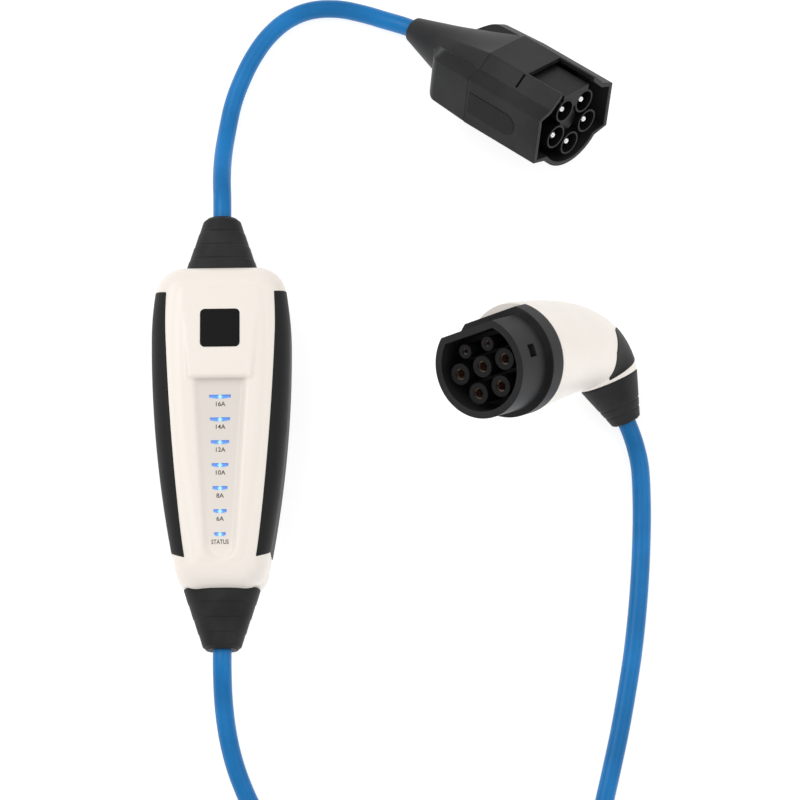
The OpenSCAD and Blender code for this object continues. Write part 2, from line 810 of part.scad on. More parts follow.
// The sleeves stand on the insert's base, one round each pin
module plug_sleeves() {
    color(black) place_plug() along_x(sleeve_back, sleeve_front) for (i = [0 : pin_count - 1])
        translate(pin_at(i)) difference() {
            circle(sleeve_radius, $fn = 40);
            circle(sleeve_radius - sleeve_wall, $fn = 40);
        }
}
module plug_pin(i) {
    tip = -pin_sink - pin_radius;
    color(steel) place_plug() translate([0, pin_at(i)[0], pin_at(i)[1]]) rotate([0, 90, 0]) {
        translate([0, 0, sleeve_back + seat])
            cylinder(h = tip - sleeve_back - seat, r = pin_radius, $fn = 24);
        translate([0, 0, tip]) sphere(pin_radius, $fn = 24);
    }
}
// Distance of the hood's outline from its axis at angle a: the wings and the core, whichever is further out
function line_ray(e, p, q) =
    let (d = p[0] * q[1] - p[1] * q[0]) abs(d / (cos(e) * (q[1] - p[1]) - sin(e) * (q[0] - p[0])));
shoulder = [shoulder_y, shoulder_z];
plateau = [plateau_half, plateau_z];
function rise_of(p) = atan(p[1] / p[0]);
function wing_ray(e, up) = e < rise_of(wing_corner)
    ? wing_corner[0] / cos(e)
    : line_ray(e, wing_corner, up ? shoulder : keel);
function core_ray(e, up) = !up || e < rise_of(shoulder)
    ? hood_radius
    : e < rise_of(plateau) ? line_ray(e, shoulder, plateau) : plateau_z / sin(e);
// Section of the rear cover, k along it from the hood (0) to the cable (1)
function cover_ray(a, k) =
    let (
        up = a < 180,
        e = 90 - abs(90 - (up ? a : a - 180)),
        round_r = lerp(hood_radius, cover_end_radius, k),
        core = lerp(core_ray(e, up) * round_r / hood_radius, round_r, min(1, k * core_round)),
        shrink = k < wing_end
            ? 1 - wing_fall * k
            : lerp(1 - wing_fall * wing_end, wing_rest, (k - wing_end) / (wing_gone - wing_end))
    )
        k > wing_gone || e > rise_of(up ? shoulder : keel) ? core : max(core, wing_ray(e, up) * shrink);
module plug_cover() {
    steps = [0, 0.14, 0.28, 0.4, 0.46, 0.52, 0.58, 0.66, 0.76, 0.88, 1];
    corner = rise_of(wing_corner) - 22.5;
    function at_corner(a) = a % 180 == 22.5 ? a + corner : a % 180 == 157.5 ? a - corner : a;
    function ring(k, hub = 0) = [
        for (i = [0 : 47])
            let (a = at_corner(i * 7.5), r = hub > 0 ? hub : cover_ray(a, k))
                [-hood_length - seat - k * (cover_length - seat), r * cos(a), r * sin(a)]
    ];
    color(soft_black) place_plug() loft(concat([for (k = turned(steps)) ring(k)], [ring(0, pin_circle)]));
}

// Vehicle connector. In its own frame X runs out of its face, Z to the flat of its nose,
// and the handle leaves the bend at the origin, down and back.
handle_dip = atan((handle_radius - handle_end) / handle_boot);
handle_dir = [
    cos(handle_dip) * cos(handle_azimuth), cos(handle_dip) * sin(handle_azimuth), -sin(handle_dip)
];
handle_up = [
    sin(handle_dip) * cos(handle_azimuth), sin(handle_dip) * sin(handle_azimuth), cos(handle_dip)
];
handle_side = [sin(handle_azimuth), -cos(handle_azimuth), 0];
nose_lift = cos(handle_roll) * handle_up + sin(handle_roll) * handle_side;
nose_dir = -cos(bend) * handle_dir + sin(bend) * nose_lift;
nose_top = -(sin(bend) * handle_dir + cos(bend) * nose_lift);
nose_side = cross(nose_top, nose_dir);
elbow_z = (handle_length + seat) * sin(handle_dip) + handle_radius * cos(handle_dip) + seat;
module place_connector() {
    multmatrix([
        [nose_dir[0], nose_side[0], nose_top[0], elbow_place[0]],
        [nose_dir[1], nose_side[1], nose_top[1], elbow_place[1]],
        [nose_dir[2], nose_side[2], nose_top[2], elbow_z], [0, 0, 0, 1]
    ])
        children();
}
module d_shape(r, flat) {
    intersection() {
        circle(r);
        translate([-r - 1, -r - 1]) square([2 * r + 2, r + 1 + flat]);
    }
}
face_x = reach;
insert_t = 4;
sleeve_sink = 4;
collar_front = face_x - nose_length;
collar_back = collar_front - collar_length;
socket_floor = collar_front + insert_t;
sleeve_tip = face_x - sleeve_sink;
collar_flat = nose_flat + collar_step;
window = [7, 10, 8];
window_x = 8;
module connector_nose() {
    color(soft_black) place_connector() difference() {
        union() {
            along_x(collar_front, face_x) d_shape(nose_radius, nose_flat);
            along_x(collar_back + seat, collar_front) d_shape(collar_radius, collar_flat);
        }
        along_x(socket_floor, face_x + 1) d_shape(nose_radius - nose_wall, nose_flat - nose_wall);
        for (c = [[0, nose_flat], [-nose_radius, 0], [nose_radius, 0]])
            translate([socket_floor + window_x, c[0] - window[1] / 2, c[1] - window[2] / 2]) cube(window);
    }
}
function contact_at(i) = i == 0 ? [0, 0] : [
    contact_pitch * cos([0, 180, 240, 300][i - 1]), contact_pitch * sin([0, 180, 240, 300][i - 1])
];
function pilot_at(i) = [(i - 0.5) * contact_pitch, pilot_rise];
socket_wall = 0.9;
lip = 1.4;
lip_gap = 0.3;
contact_fn = 32;
module each_contact(power, pilot) {
    for (i = [0 : 4]) translate(contact_at(i)) circle(power, $fn = contact_fn);
    for (i = [0 : 1]) translate(pilot_at(i)) circle(pilot, $fn = contact_fn);
}
module connector_insert() {
    color(black) place_connector() difference() {
        union() {
            along_x(socket_floor + seat, socket_floor + insert_t)
                d_shape(nose_radius - nose_wall - fit, nose_flat - nose_wall - fit);
            along_x(socket_floor + insert_t - 1, sleeve_tip) each_contact(power_sleeve, pilot_sleeve);
        }
        along_x(socket_floor + insert_t, sleeve_tip - lip)
            each_contact(power_bore + socket_wall + seat, pilot_bore + socket_wall + seat);
        along_x(sleeve_tip - lip - 1, sleeve_tip + 1)
            each_contact(power_bore + lip_gap, pilot_bore + lip_gap);
    }
}
module socket(place, r) {
    color(brass) place_connector() along_x(socket_floor + insert_t + seat, sleeve_tip - lip - seat)
        translate(place) difference() {
            circle(r + socket_wall, $fn = contact_fn);
            circle(r, $fn = contact_fn);
        }
}
// Spine of the shell as a cubic curve from the collar (0) round the bend to the boot (1)
handle_line = [-cos(bend), 0, -sin(bend)];
bend_in = 36;
bend_out = 1;
shell_lip = 0.6;
shell_taper = 1.1;
function spine(t) =
    let (
        p0 = [collar_back, 0, 0], p1 = [bend_in, 0, 0], p2 = bend_out * handle_line,
        p3 = handle_length * handle_line
    )
        pow(1 - t, 3) * p0 + 3 * t * pow(1 - t, 2) * p1 + 3 * t * t * (1 - t) * p2 + pow(t, 3) * p3;
function spine_dir(t) =
    t <= 0 ? [-1, 0, 0] : t >= 1 ? handle_line : unit(spine(t + 0.01) - spine(t - 0.01));
function shell_r(t) = lerp(collar_radius - shell_lip, handle_radius, pow(t, shell_taper));
function shell_point(t, a, lift) =
    let (d = spine_dir(t), e2 = cross(d, [0, 1, 0]), r = shell_r(t) + lift)
        spine(t) + r * (cos(a) * [0, 1, 0] + sin(a) * e2);
module connector_shell() {
    color(ivory) place_connector() difference() {
        loft([for (t = [0 : 0.0625 : 1]) [for (a = [0 : 11.25 : 348.75]) shell_point(t, a, 0)]]);
        handle_pad(0, cut_over, pad_depth + fit, pad_fit);
        handle_pad(180, cut_over, pad_depth + fit, pad_fit);
    }
}
// A pad on the handle's side, round towards the nose and wide at the boot
pad_from = 0.62;
pad_to = 0.965;
pad_fit = 0.0075;
pad_narrow = 8;
pad_wide = 50;
pad_widen = 1.15;
pad_turn = 40;
pad_lift = 0.25;
module handle_pad(side, out, deep, grow) {
    rows = [for (i = [8 : -1 : 0]) i / 8];
    function pad_row(k, lift) =
        let (
            t = lerp(pad_from - grow, pad_to + grow, k),
            half = pad_narrow + pad_wide * pow(sin(90 * min(1, k * pad_widen)), 0.8) + pad_turn * grow
        )
            [for (j = [-1 : 0.25 : 1]) shell_point(t, side + half * j, lift)];
    slab([for (k = rows) pad_row(k, out)], [for (k = rows) pad_row(k, -deep)]);
}
module connector_left_pad() {
    color(black) place_connector() handle_pad(180, pad_lift, pad_depth, 0);
}
module connector_right_pad() {
    color(black) place_connector() handle_pad(0, pad_lift, pad_depth, 0);
}
module connector_boot() {
    start = handle_length + seat;
    color(soft_black) place_connector() rotate([0, -90 - bend, 0]) translate([0, 0, start])
        cylinder(h = handle_boot, r1 = handle_radius, r2 = handle_end);
}
boot_tip = [elbow_place[0], elbow_place[1], elbow_z] + (handle_length + seat + handle_boot) * handle_dir;

// Cables, laid on the floor
module supply_cable() {
    color(blue) tube(concat(supply_route, [plug_back]), cable_d / 2, [0, 1, 0], plug_dir);
}
module outlet_cable() {
    color(blue) tube(outlet_route, cable_d / 2, [0, -1, 0], [0, -1, 0]);
}
module connector_cable() {
    color(blue) tube(concat([boot_tip], connector_route), cable_d / 2, handle_dir, [0, -1, 0]);
}
// Section of the coil's bundle: two rows of turns, rounded at both sides
module bundle(grow) {
    offset(bundle_height / 2 + grow, $fn = 32) square([bundle_width - bundle_height, 0.02], center = true);
}
module cable_coil() {
    color(blue) translate(coil_place) rotate_extrude() translate([coil_d / 2, 0]) bundle(0);
}
module cable_tie() {
    arc = tie_width / (coil_d / 2) * 180 / PI;
    color(black) translate(coil_place) rotate([0, 0, -90 - arc / 2]) rotate_extrude(angle = arc)
        translate([coil_d / 2, 0]) difference() {
            bundle(seat + tie_thickness);
            bundle(seat);
        }
}

front_shell();
rear_shell();
housing_seal();
housing_screws();
left_grip();
right_grip();
supply_boot();
outlet_boot();
badge();
light_board();
main_board();
current_sensor();
supply_terminals();
outlet_terminals();
control_transformer();
supply_clamp();
outlet_clamp();
plug_hood();
plug_cover();
plug_insert();
plug_sleeves();
plug_left_pad();
plug_right_pad();
connector_nose();
connector_insert();
connector_shell();
connector_left_pad();
connector_right_pad();
connector_boot();
supply_cable();
outlet_cable();
connector_cable();
cable_coil();
cable_tie();
for (i = [1 : bar_count]) light_bar(i - 1);
for (i = [1 : relay_count]) relay(i - 1);
for (i = [1 : 5]) plug_pin(i - 1);
for (i = [1 : 5]) socket(contact_at(i - 1), power_bore);
for (i = [1 : 2]) socket(pilot_at(i - 1), pilot_bore);
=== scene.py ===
"""Looks of a portable car charger: control box, supply plug, vehicle connector and their blue leads.

Sizes in the classes are millimetres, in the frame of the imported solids, and become metres where a mesh is made.
"""
import logging
import math
from dataclasses import dataclass, field
from enum import Enum
from typing import Any, Sequence

import bmesh
import bpy
import numpy as np
from mathutils import Matrix, Vector


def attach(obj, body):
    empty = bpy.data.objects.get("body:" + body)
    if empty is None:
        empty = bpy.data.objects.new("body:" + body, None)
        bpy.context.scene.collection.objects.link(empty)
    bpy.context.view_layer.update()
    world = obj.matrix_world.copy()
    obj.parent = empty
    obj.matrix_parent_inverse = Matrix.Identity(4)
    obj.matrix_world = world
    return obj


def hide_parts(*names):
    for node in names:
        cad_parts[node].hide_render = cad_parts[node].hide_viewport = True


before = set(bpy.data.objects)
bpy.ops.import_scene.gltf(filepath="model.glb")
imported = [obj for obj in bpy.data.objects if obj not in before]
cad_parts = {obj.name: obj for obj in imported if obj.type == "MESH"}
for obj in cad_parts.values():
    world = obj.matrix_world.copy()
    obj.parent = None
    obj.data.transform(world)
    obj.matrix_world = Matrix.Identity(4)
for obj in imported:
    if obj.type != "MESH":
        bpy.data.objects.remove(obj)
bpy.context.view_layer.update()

LOG = logging.getLogger("charger")
MM = 0.001
ROOT = "root"
CLOUD = 35.0
Array = np.ndarray


# Shader maths


class Sock:
    """A shader value that can be used in Python expressions."""

    def __init__(self, shader: "Shader", socket: bpy.types.NodeSocket) -> None:
        """Wraps an output socket of a material under construction."""
        self.shader = shader
        self.socket = socket

    def _math(self, operation: str, *values: Any) -> "Sock":
        """Output of a new Math node with these inputs in order."""
        return self.shader.node("ShaderNodeMath", {"operation": operation}, dict(enumerate(values)))

    def __add__(self, other: Any) -> "Sock":
        """Sum."""
        return self._math("ADD", self, other)

    def __sub__(self, other: Any) -> "Sock":
        """Difference."""
        return self._math("SUBTRACT", self, other)

    def __rsub__(self, other: Any) -> "Sock":
        """Difference, the other way round."""
        return self._math("SUBTRACT", other, self)

    def __mul__(self, other: Any) -> "Sock":
        """Product."""
        return self._math("MULTIPLY", self, other)

    __radd__ = __add__

    def absolute(self) -> "Sock":
        """Size without sign."""
        return self._math("ABSOLUTE", self)

    def between(self, low: float, high: float) -> "Sock":
        """Goes smoothly from 0 at low to 1 at high."""
        inputs = {"Value": self, "From Min": low, "From Max": high, "To Min": 0.0, "To Max": 1.0}
        return self.shader.node("ShaderNodeMapRange", {"interpolation_type": "SMOOTHSTEP"}, inputs)


class Shader:
    """A material under construction, with one Principled shader."""

    def __init__(self, name: str) -> None:
        """Makes an empty material.

        Args:
            name: The material's name.
        """
        self.material = bpy.data.materials.new(name)
        self.material.use_nodes = True
        self.tree = self.material.node_tree
        self.tree.nodes.clear()
        out = self.tree.nodes.new("ShaderNodeOutputMaterial")
        self.bsdf = self.tree.nodes.new("ShaderNodeBsdfPrincipled")
        self.tree.links.new(self.bsdf.outputs[0], out.inputs["Surface"])

    def feed(self, socket: bpy.types.NodeSocket, value: Any) -> None:
        """Sets or links one input.

        Args:
            socket: The input.
            value: A number, a colour or a wrapped output.
        """
        if isinstance(value, Sock):
            self.tree.links.new(value.socket, socket)
        else:
            socket.default_value = value

    def node(self, kind: str, settings: dict[str, Any], inputs: dict[Any, Any], output: Any = 0) -> Sock:
        """Makes any node.

        Args:
            kind: The node's type.
            settings: Properties that are set first.
            inputs: Values or links by socket name or number.
            output: The output that is wanted.

        Returns:
            The wrapped output.
        """
        made = self.tree.nodes.new(kind)
        for key, value in settings.items():
            setattr(made, key, value)
        for key, value in inputs.items():
            self.feed(made.inputs[key], value)
        return Sock(self, made.outputs[output])

    def place(self) -> Sock:
        """Object coordinates, in metres in the charger's frame."""
        return self.node("ShaderNodeTexCoord", {}, {}, "Object")

    def along(self, axis: int) -> Sock:
        """One object coordinate in millimetres, 0 for X to 2 for Z."""
        return self.node("ShaderNodeSeparateXYZ", {}, {0: self.place()}, axis) * (1.0 / MM)

    def noise(self, scale: float, detail: float = 3.0, stretch: tuple[float, float, float] = (1, 1, 1)) -> Sock:
        """Noise from 0 to 1 on object coordinates: cells for each metre, octaves and stretch along each axis."""
        at = self.node("ShaderNodeMapping", {}, {"Vector": self.place(), "Scale": stretch})
        return self.node("ShaderNodeTexNoise", {}, {"Vector": at, "Scale": scale, "Detail": detail})

    def mix(self, factor: Any, first: Any, second: Any) -> Sock:
        """Blends two colours, with factor 0 for the first and 1 for the second."""
        return self.node("ShaderNodeMix", {"data_type": "RGBA"}, {0: factor, 6: first, 7: second}, 2)

    def bump(self, height: Sock, strength: float, depth: float, edge: float = 0.0) -> Sock:
        """Normal from a height, with the solid's edges rounded off.

        Args:
            height: The height field, 0 to 1.
            strength: Share of the effect.
            depth: Height of 1 in metres.
            edge: Radius of the rounded edges in metres, or 0.

        Returns:
            The normal.
        """
        inputs: dict[Any, Any] = {"Height": height, "Strength": strength, "Distance": depth}
        if edge > 0:
            inputs["Normal"] = self.node("ShaderNodeBevel", {"samples": 6}, {"Radius": edge})
        return self.node("ShaderNodeBump", {}, inputs)

    def finish(self, **inputs: Any) -> bpy.types.Material:
        """Feeds the shader.

        Args:
            inputs: Values by socket name, with _ for spaces.

        Returns:
            The finished material.
        """
        for key, value in inputs.items():
            self.feed(self.bsdf.inputs[key.replace("_", " ")], value)
        return self.material


# Finishes


def rgba(colour: Sequence[float], scale: float = 1.0) -> tuple[float, ...]:
    """Scales a colour, up to 1 at most, and adds an opaque alpha."""
    return (*(min(1.0, c * scale) for c in colour), 1.0)


@dataclass(frozen=True)
class MouldedPlastic:
    """Spark-eroded moulded plastic: a fine grain, a little mottling and a satin shine."""

    name: str
    colour: tuple[float, float, float]
    roughness: float = 0.42
    grain: float = 5200.0
    depth: float = 0.00003
    edge: float = 0.0
    mottle: float = 0.05
    shine: float = 0.5

    def make(self) -> bpy.types.Material:
        """Builds the material: colour varies over centimetres, grain and shine over fractions of a millimetre."""
        s = Shader(self.name)
        cloud = s.noise(CLOUD, 4.0)
        darker, lighter = rgba(self.colour, 1 - 2 * self.mottle), rgba(self.colour, 1 + self.mottle)
        return self.coat(s, s.mix(cloud.between(0.3, 0.7), darker, lighter), cloud)

    def coat(self, s: Shader, colour: Sock, cloud: Sock) -> bpy.types.Material:
        """Finishes a material with this plastic's grain and shine.

        Args:
            s: The material under construction.
            colour: Its colour.
            cloud: Slow noise that shifts the shine.

        Returns:
            The finished material.
        """
        grain = s.noise(self.grain, 2.0)
        return s.finish(
            Base_Color=colour,
            Roughness=self.roughness + (cloud - 0.5) * 0.12 + (grain - 0.5) * 0.1,
            Specular_IOR_Level=self.shine,
            Normal=s.bump(grain, 0.5, self.depth, self.edge),
        )


@dataclass(frozen=True)
class PaintedChannelShade:
    """The front shell's plastic with painted shade in the light channel, darkest under the panel's foot, where a
    painted shadow lies.
    """

    name: str
    base: MouldedPlastic
    foot: float
    end: float
    half: tuple[float, float]
    slope: float
    # how much darker the painted shade makes the ivory
    deeper: float = 0.28

    def make(self) -> bpy.types.Material:
        """Builds the material: painted shade whose mask follows the channel's outline."""
        s = Shader(self.name)
        x, y = s.along(0).absolute(), s.along(1)
        grow = (self.half[0] - self.half[1]) / (self.foot - self.end)
        side = 1.0 - (x - (y - self.end) * grow - self.half[1]).between(0.0, self.slope)
        # painted shade over the channel's floor, up to the panel's foot and round the channel's end
        painted_shade_mask = side * (1.0 - y.between(self.foot - 0.3, self.foot + 0.5)) * y.between(self.end - 9.0, self.end + 6.0)
        # painted shadow just under the panel's foot wall
        under = y.between(self.foot - 6.0, self.foot - 0.2)
        # strength of the painted shade, growing towards the panel's foot, with the painted shadow on top
        depth = y.between(self.end - 30.0, self.foot + 8.0) * 0.34 + under * 0.38 + 0.28
        # the shaded copy of the ivory that the painted shade blends towards
        deep = rgba(self.base.colour, 1 - self.deeper)
        return self.base.coat(s, s.mix(painted_shade_mask * depth, rgba(self.base.colour), deep), s.noise(CLOUD, 4.0))


@dataclass(frozen=True)
class SoftGrip:
    """Soft black elastomer with a fine leathery grain and dusty high spots."""

    name: str
    colour: tuple[float, float, float] = (0.022, 0.022, 0.023)
    roughness: float = 0.58
    pebble: float = 2600.0
    edge: float = 0.0
    shine: float = 0.25

    def make(self) -> bpy.types.Material:
        """Builds the material: cells of a Voronoi pattern make the grain."""
        s = Shader(self.name)
        pebble = s.node("ShaderNodeTexVoronoi", {"feature": "SMOOTH_F1"}, {"Vector": s.place(), "Scale": self.pebble})
        dust = s.noise(60.0, 5.0).between(0.5, 0.85)
        return s.finish(
            Base_Color=s.mix(dust * 0.35, rgba(self.colour), rgba(self.colour, 2.0)),
            Roughness=self.roughness + dust * 0.12 + pebble * 0.08,
            Specular_IOR_Level=self.shine,
            Normal=s.bump(pebble, 0.35, 0.00006, self.edge),
        )


@dataclass(frozen=True)
class CableJacket:
    """Smooth blue cable sheath with faint extrusion streaks."""

    name: str
    colour: tuple[float, float, float] = (0.004, 0.18, 0.49)

    def make(self) -> bpy.types.Material:
        """Builds the material: slow noise shifts the blue, fine noise breaks up the shine."""
        s = Shader(self.name)
        slow = s.noise(25.0, 3.0)
        fine = s.noise(1800.0, 3.0)
        deep = rgba(self.colour, 0.82)
        pale = rgba([c * 1.12 + 0.004 for c in self.colour])
        return s.finish(
            Base_Color=s.mix(slow.between(0.25, 0.75), deep, pale),
            Roughness=0.36 + (fine - 0.5) * 0.16,
            Specular_IOR_Level=0.25,
            Normal=s.bump(fine, 0.3, 0.00004),
        )


@dataclass(frozen=True)
class TurnedMetal:
    """Turned contact metal with fine tool marks."""

    name: str
    colour: tuple[float, float, float]
    roughness: float = 0.22

    def make(self) -> bpy.types.Material:
        """Builds the material: stretched noise gives the marks and a slight tarnish."""
        s = Shader(self.name)
        marks = s.noise(900.0, 3.0, (1.0, 1.0, 8.0))
        tarnish = s.noise(220.0, 4.0).between(0.45, 0.8)
        return s.finish(
            Base_Color=s.mix(tarnish * 0.5, rgba(self.colour), rgba(self.colour, 0.55)),
            Roughness=self.roughness + marks * 0.15 + tarnish * 0.1,
            Metallic=1.0,
            Normal=s.bump(marks, 0.2, 0.00003),
        )


@dataclass(frozen=True)
class LightLens:
    """Lit blue lens: pale and bright in the middle, blue towards its ends."""

    name: str
    half_width: float
    half_height: float
    middle_y: float
    spot: float = 1.3

    def make(self) -> bpy.types.Material:
        """Builds the material: a bright spot in the middle, blue round it and deeper blue at the top and ends."""
        s = Shader(self.name)
        x = s.along(0).absolute()
        up = (s.along(1) - self.middle_y) * (1.0 / self.half_height)
        core = 1.0 - (x * (1.0 / self.spot) + (up + 0.15).absolute() * 0.5).between(0.3, 1.7)
        rim = up.between(0.1, 0.95) + (x * (1.0 / self.half_width)).between(0.8, 1.0) * 0.6
        grain = s.noise(2500.0, 2.0)
        body = s.mix(rim, (0.15, 0.36, 0.90, 1.0), (0.07, 0.14, 0.56, 1.0))
        glow = s.mix(core, body, (0.52, 0.95, 1.0, 1.0))
        return s.finish(
            Base_Color=s.mix(core, (0.03, 0.09, 0.25, 1.0), (0.12, 0.22, 0.25, 1.0)),
            Roughness=0.25 + grain * 0.1,
            Specular_IOR_Level=0.2,
            Emission_Color=glow,
            Emission_Strength=0.82,
        )


@dataclass(frozen=True)
class PrintedInk:
    """Thin matt print."""

    name: str
    colour: tuple[float, float, float]

    def make(self) -> bpy.types.Material:
        """Builds the material: fine noise thins the ink here and there."""
        s = Shader(self.name)
        worn = s.noise(3000.0, 4.0).between(0.62, 0.85)
        return s.finish(
            Base_Color=s.mix(worn * 0.4, rgba(self.colour), rgba([c * 2.2 + 0.03 for c in self.colour])),
            Roughness=0.6,
        )


@dataclass(frozen=True)
class GlossPlate:
    """Polished black plate with faint hairline marks."""

    name: str

    def make(self) -> bpy.types.Material:
        """Builds the material: stretched noise draws the marks."""
        s = Shader(self.name)
        scratch = s.noise(600.0, 5.0, (1.0, 9.0, 1.0)).between(0.6, 0.8)
        return s.finish(
            Base_Color=s.mix(scratch, (0.004, 0.004, 0.0042, 1.0), (0.009, 0.009, 0.0095, 1.0)),
            Roughness=0.16 + scratch * 0.1,
            Specular_IOR_Level=0.2,
            Normal=s.bump(scratch, 0.1, 0.00002, 0.0006),
        )


@dataclass(frozen=True)
class Strap:
    """Woven hook-and-loop strap."""

    name: str
    colour: tuple[float, float, float] = (0.02, 0.02, 0.022)

    def make(self) -> bpy.types.Material:
        """Builds the material: two crossed waves make the weave and noise makes the nap."""
        s = Shader(self.name)
        warp, weft = (s.node("ShaderNodeTexWave", {"bands_direction": way}, {"Vector": s.place(), "Scale": 260.0})
                      for way in "XZ")
        weave = warp * weft
        nap = s.noise(1500.0, 4.0)
        return s.finish(
            Base_Color=s.mix(weave, rgba(self.colour), rgba(self.colour, 2.6)),
            Roughness=0.8 + (nap - 0.5) * 0.2,
            Normal=s.bump(weave + nap * 0.4, 0.6, 0.0002),
        )


class Palette(Enum):
    """Every finish on the charger that isn't tied to one piece's place."""

    IVORY = MouldedPlastic("ivory_moulding", (0.955, 0.885, 0.81), 0.36, 4200.0, 0.00002, 0.0, 0.012)
    # a lighter copy of the box's ivory: painted light that makes up for the handle facing sideways to the lamps
    IVORY_HANDLE = MouldedPlastic("ivory_handle_painted_light", (0.985, 0.92, 0.85), 0.36, 4200.0, 0.00002, 0.0, 0.012)
    BLACK_HOUSING = MouldedPlastic("black_housing", (0.019, 0.019, 0.0195), 0.46, 4600.0, 0.00004, 0.0009, 0.18, 0.24)
    BLACK_INSERT = MouldedPlastic("black_insert", (0.006, 0.006, 0.0063), 0.4, 5200.0, 0.00002, 0.0004, 0.15, 0.22)
    BOOT = MouldedPlastic("boot_rubber", (0.020, 0.020, 0.0205), 0.55, 3600.0, 0.00005, 0.0, 0.2, 0.24)
    GRIP = SoftGrip("side_grip", (0.010, 0.010, 0.0104), 0.52)
    PAD = SoftGrip("inlay_pad", (0.008, 0.008, 0.0083), 0.48, 3000.0, 0.0003)
    CABLE = CableJacket("blue_sheath")
    STEEL = TurnedMetal("bright_steel", (0.92, 0.92, 0.93), 0.2)
    COPPER = TurnedMetal("contact_copper", (0.82, 0.60, 0.50), 0.22)
    SCREW = TurnedMetal("screw_steel", (0.5, 0.5, 0.52), 0.35)
    SEAL = SoftGrip("seal_rubber", (0.02, 0.02, 0.02), 0.7)
    INK = PrintedInk("label_ink", (0.055, 0.042, 0.036))
    GLOSS = GlossPlate("badge_gloss")
    STRAP = Strap("coil_strap")
    BOARD = MouldedPlastic("board_lacquer", (0.02, 0.16, 0.07), 0.3, 900.0, 0.00008, 0.0003, 0.2)
    RELAY = MouldedPlastic("relay_case", (0.02, 0.02, 0.025), 0.35, 4000.0, 0.00003, 0.0005, 0.1)
    SENSOR = MouldedPlastic("sensor_case", (0.03, 0.06, 0.15), 0.4, 4000.0, 0.00003, 0.0005, 0.1)
    TERMINAL = MouldedPlastic("terminal_block", (0.08, 0.09, 0.1), 0.45, 4000.0, 0.00003, 0.0005, 0.1)
    TRANSFORMER = MouldedPlastic("transformer_tape", (0.55, 0.36, 0.05), 0.4, 1500.0, 0.00006, 0.0005, 0.1)

    def material(self) -> bpy.types.Material:
        """Returns the finish's material, made on first use."""
        return bpy.data.materials.get(self.value.name) or self.value.make()


# Surfaces


def grid_faces(rows: int, cols: int, wrap: bool = False, start: int = 0) -> Array:
    """Quads of a grid of points numbered row by row.

    Args:
        rows: Number of rows.
        cols: Number of columns.
        wrap: Whether the last column joins the first.
        start: Number of the first point.

    Returns:
        Four point numbers for each quad.
    """
    i, j = np.meshgrid(np.arange(rows - 1), np.arange(cols if wrap else cols - 1), indexing="ij")
    k = (j + 1) % cols
    quads = np.stack([i * cols + j, i * cols + k, (i + 1) * cols + k, (i + 1) * cols + j], axis=-1)
    return quads.reshape(-1, 4) + start


def ramp(low: float, high: float, x: Array) -> Array:
    """Smooth step: 0 below low, 1 above high, with a cubic between them."""
    t = np.clip((x - low) / (high - low), 0.0, 1.0)
    return t * t * (3.0 - 2.0 * t)


def xyz(x: Any, y: Any, z: Any) -> Array:
    """Points from three coordinates, each spread over the rows and columns of all."""
    return np.stack(np.broadcast_arrays(x, y, z), axis=-1)


def around(step: float) -> Array:
    """Angles all the way round in radians, as a row, with steps in degrees."""
    return np.radians(np.arange(0, 360, step))[None, :]


def link(name: str, data: bpy.types.ID) -> bpy.types.Object:
    """Puts a mesh, curve, camera or lamp into the scene as an object."""
    made = bpy.data.objects.new(name, data)
    bpy.context.collection.objects.link(made)
    return made


@dataclass
class Surface:
    """Points and quads that become one piece, named after the solid that it stands for."""

    node: str
    suffix: str = "_skin"
    points: list[Array] = field(default_factory=list)
    quads: list[Array] = field(default_factory=list)
    count: int = 0

    def add(self, grid: Array, wrap: bool = False, flip: bool = False) -> "Surface":
        """Adds a grid of points.

        Args:
            grid: Points in millimetres, rows by columns by three.
            wrap: Whether the columns close into a ring.
            flip: Whether the faces are turned over.

        Returns:
            The surface itself.
        """
        rows, cols = grid.shape[:2]
        faces = grid_faces(rows, cols, wrap, self.count)
        self.points.append(grid.reshape(-1, 3))
        self.quads.append(faces[:, ::-1] if flip else faces)
        self.count += rows * cols
        return self

    def cap(self, ring: Array, flip: bool = False) -> "Surface":
        """Closes a ring with a fan of slim quads to its middle.

        Args:
            ring: The ring's points.
            flip: Whether the faces are turned over.

        Returns:
            The surface itself.
        """
        middle = ring.mean(axis=0)
        shares = np.array([1.0, 0.5, 0.0])[:, None, None]
        return self.add(middle + shares * (ring - middle), True, flip)

    def tube(self, grid: Array) -> "Surface":
        """Adds a ring of points carried along a line, one row for each ring, closed at both ends."""
        return self.add(grid, True).cap(grid[0], True).cap(grid[-1])

    def build(self, material: bpy.types.Material, slot: str, sharp: float, wall: float = 0.0) -> bpy.types.Object:
        """Makes the object, joined at its seams and facing outwards.

        Args:
            material: The finish.
            slot: Not used.
            sharp: Edges over this angle in degrees stay sharp.
            wall: Thickness in millimetres that is added inside, or 0.

        Returns:
            The object, riding on the root body.
        """
        name = self.node + self.suffix
        mesh = bpy.data.meshes.new(name)
        mesh.from_pydata((np.concatenate(self.points) * MM).tolist(), [], np.concatenate(self.quads).tolist())
        work = bmesh.new()
        work.from_mesh(mesh)
        bmesh.ops.remove_doubles(work, verts=work.verts, dist=2e-6)
        bmesh.ops.dissolve_degenerate(work, edges=work.edges, dist=1e-7)
        bmesh.ops.recalc_face_normals(work, faces=work.faces)
        work.to_mesh(mesh)
        work.free()
        mesh.shade_smooth()
        mesh.set_sharp_from_angle(angle=math.radians(sharp))
        piece = link(name, mesh)
        if wall:
            solid = piece.modifiers.new("wall", "SOLIDIFY")
            solid.thickness, solid.offset = wall * MM, -1.0
        return settle(piece, material, [self.node])


